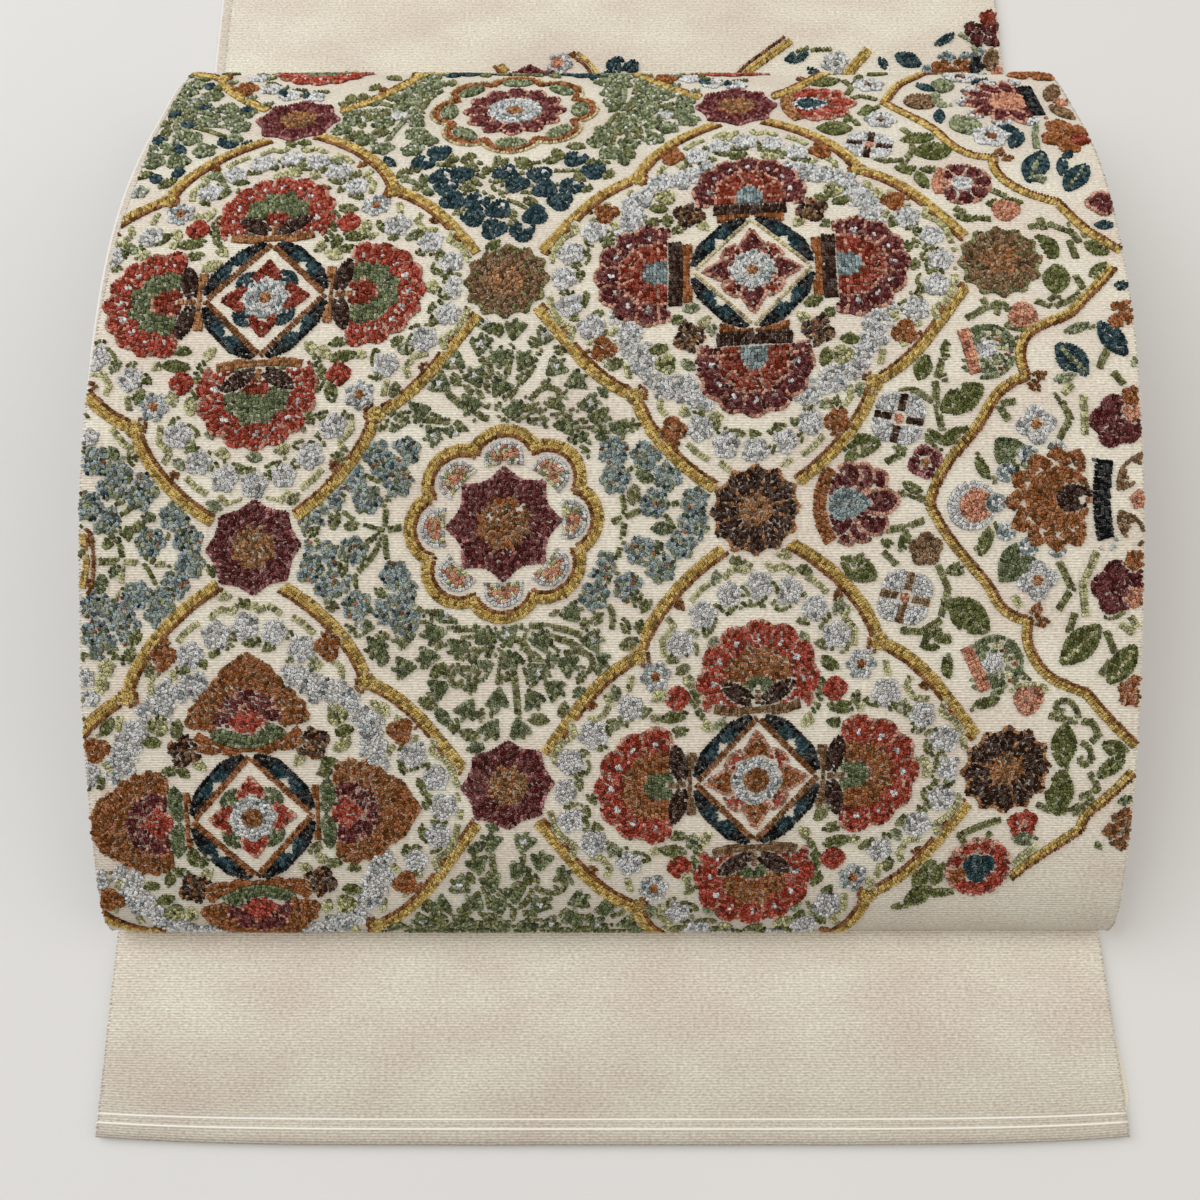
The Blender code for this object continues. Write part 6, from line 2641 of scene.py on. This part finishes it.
@dataclass(frozen=True)
class FloorFinish:
    """A pale painted table."""

    name: str = "pale_table"

    def material(self) -> bpy.types.Material:
        """Nearly white, with the faintest unevenness."""
        nodes = Nodes(self.name)
        spot = nodes.add("ShaderNodeTexCoord").outputs["Object"]
        colour = nodes.mix(nodes.noise(spot, 9.0, 6.0), srgb(226, 225, 224), srgb(232, 231, 230))
        grain = nodes.noise(spot, 260.0, 3.0)
        bump = nodes.add("ShaderNodeBump", {"Height": grain, "Distance": 0.0003, "Strength": 0.35})
        nodes.set(Base_Color=colour, Roughness=0.7, Normal=bump.outputs["Normal"])
        return nodes.material


# ---------------------------------------------------------------------------------------------
# The sash


@dataclass
class Cloths:
    """The sash's two cloths and its folded stack."""

    line: SashLine = field(default_factory=SashLine)

    @cached_property
    def drum_start(self) -> int:
        """The point of the first cloth where the drum starts."""
        spots = self.line.first_cloth
        target = self.line.drum[0]
        return min(range(len(spots)), key=lambda i: math.dist(spots[i], target)
                   + abs(spots[i][1] - target[1]))

    @cached_property
    def face(self) -> Sheet:
        """The face cloth from the tail to behind the drum."""
        return Sheet(self.line, self.line.first_cloth, Side.FACE, 56, self.drum_start, "start")

    def build(self, worked: list[bpy.types.Object]) -> None:
        """Make every cloth piece."""
        line = self.line
        face_silk = ClothFinish("face_silk", srgb(244, 238, 220), srgb(232, 218, 202)).material()
        lining_silk = ClothFinish(
            "lining_silk", srgb(232, 222, 206), srgb(222, 206, 190), edge=-0.1542
        ).material()
        flat = (line.width, run_length(line.first_cloth))
        spare = (line.width, run_length(line.hand_end))
        lining = Sheet(line, line.first_cloth, Side.LINING, 24, self.drum_start, "start")
        self.sheet("cloth_face", self.face, face_silk, flat,
                   ("tail_face", "inner_face", "drum_face", "behind_face"))
        self.sheet("cloth_lining", lining, lining_silk, flat,
                   ("tail_lining", "inner_lining", "drum_lining", "behind_lining"))
        self.sheet("hand_end_cloth_face", Sheet(line, line.hand_end, Side.FACE, 40, None, "end"),
                   face_silk, spare, ("hand_end_face",))
        self.sheet("hand_end_cloth_lining", Sheet(line, line.hand_end, Side.LINING, 30, None, "end"),
                   lining_silk, spare, ("hand_end_lining",))
        block = piece_of("folded_stack", Stack(line).mesh("folded_stack"), BlockFinish().material())
        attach(block, "root")
        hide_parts("folded_layers")
        LOG.info("folded_stack: %d faces", len(block.data.polygons))

    def sheet(self, name: str, cloth: Sheet, material: bpy.types.Material, flat: Point,
              stands_for: tuple[str, ...]) -> None:
        """One cloth as a piece of the sash, with its flat size logged."""
        made = piece_of(name, cloth.mesh(name), material)
        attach(made, "root")
        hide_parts(*stands_for)
        LOG.info("%s: %.3f x %.3f m, %d faces", name, *flat, len(made.data.polygons))


@dataclass
class Studio:
    """The table, the light and the camera.

    Args:
        air: The colour of the light from all round.
        air_strength: How strong it is.
        lamps: Each lamp's name, place, aim, size, power and colour.
        eye: Where the camera stands.
        down: How far below level it looks, in degrees.
        lens: Its focal length in millimetres, which is its sensor's width too.
        table: How wide the table is to each side, in metres.
    """

    air: tuple[float, float, float] = (1.0, 0.982, 0.95)
    air_strength: float = 0.51
    lamps: tuple[tuple, ...] = (
        ("window", (-1.3, 0.5, 1.5), (0.0, 0.0, 0.03), 1.9, 24.5, (0.965, 0.985, 1.0)),
        ("bounce", (1.3, -0.2, 1.1), (0.0, 0.0, 0.0), 1.8, 8.0, (1.0, 0.92, 0.80)),
    )
    eye: tuple[float, float, float] = (-0.0045, -0.36594, 0.3940)
    down: float = 73.37
    lens: float = 36.0
    table: float = 3.0

    def build(self) -> None:
        """Make them."""
        mesh = bpy.data.meshes.new("floor")
        bm = bmesh.new()
        bmesh.ops.create_grid(bm, x_segments=8, y_segments=8, size=self.table)
        bm.to_mesh(mesh)
        bm.free()
        floor = piece_of("floor", mesh, FloorFinish().material())
        scene = bpy.context.scene
        scene.world = bpy.data.worlds.new("room")
        scene.world.use_nodes = True
        background = scene.world.node_tree.nodes["Background"]
        background.inputs["Color"].default_value = (*self.air, 1.0)
        background.inputs["Strength"].default_value = self.air_strength
        for lamp in self.lamps:
            self.light(*lamp)
        camera = bpy.data.cameras.new("camera")
        camera.lens = camera.sensor_width = self.lens
        camera.clip_start = 0.01
        eye = bpy.data.objects.new("camera", camera)
        eye.location = self.eye
        eye.rotation_euler = (math.radians(90 - self.down), 0.0, 0.0)
        scene.collection.objects.link(eye)
        scene.camera = eye
        scene.view_settings.view_transform = "Standard"

    def light(self, name: str, place: tuple, aim: tuple, size: float, power: float, colour: tuple) -> None:
        """One soft square light."""
        data = bpy.data.lights.new(name, "AREA")
        data.size, data.energy, data.color = size, power, colour
        lamp = bpy.data.objects.new(name, data)
        lamp.location = place
        lamp.rotation_euler = (Vector(aim) - Vector(place)).to_track_quat("-Z", "Y").to_euler()
        bpy.context.scene.collection.objects.link(lamp)


def main() -> None:
    """Build everything in order, and log the sizes."""
    logging.basicConfig(level=logging.INFO, format="%(message)s")
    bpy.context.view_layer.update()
    Studio().build()
    cloths = Cloths()
    pattern = Embroidery()
    pattern.build()
    worked = Knots(cloths.face, pattern).build()
    worked += [EdgeStitches(cloths.face).build(), HemThreads(cloths.face).build()]
    cloths.build(worked)


if __name__ == "__main__":
    main()
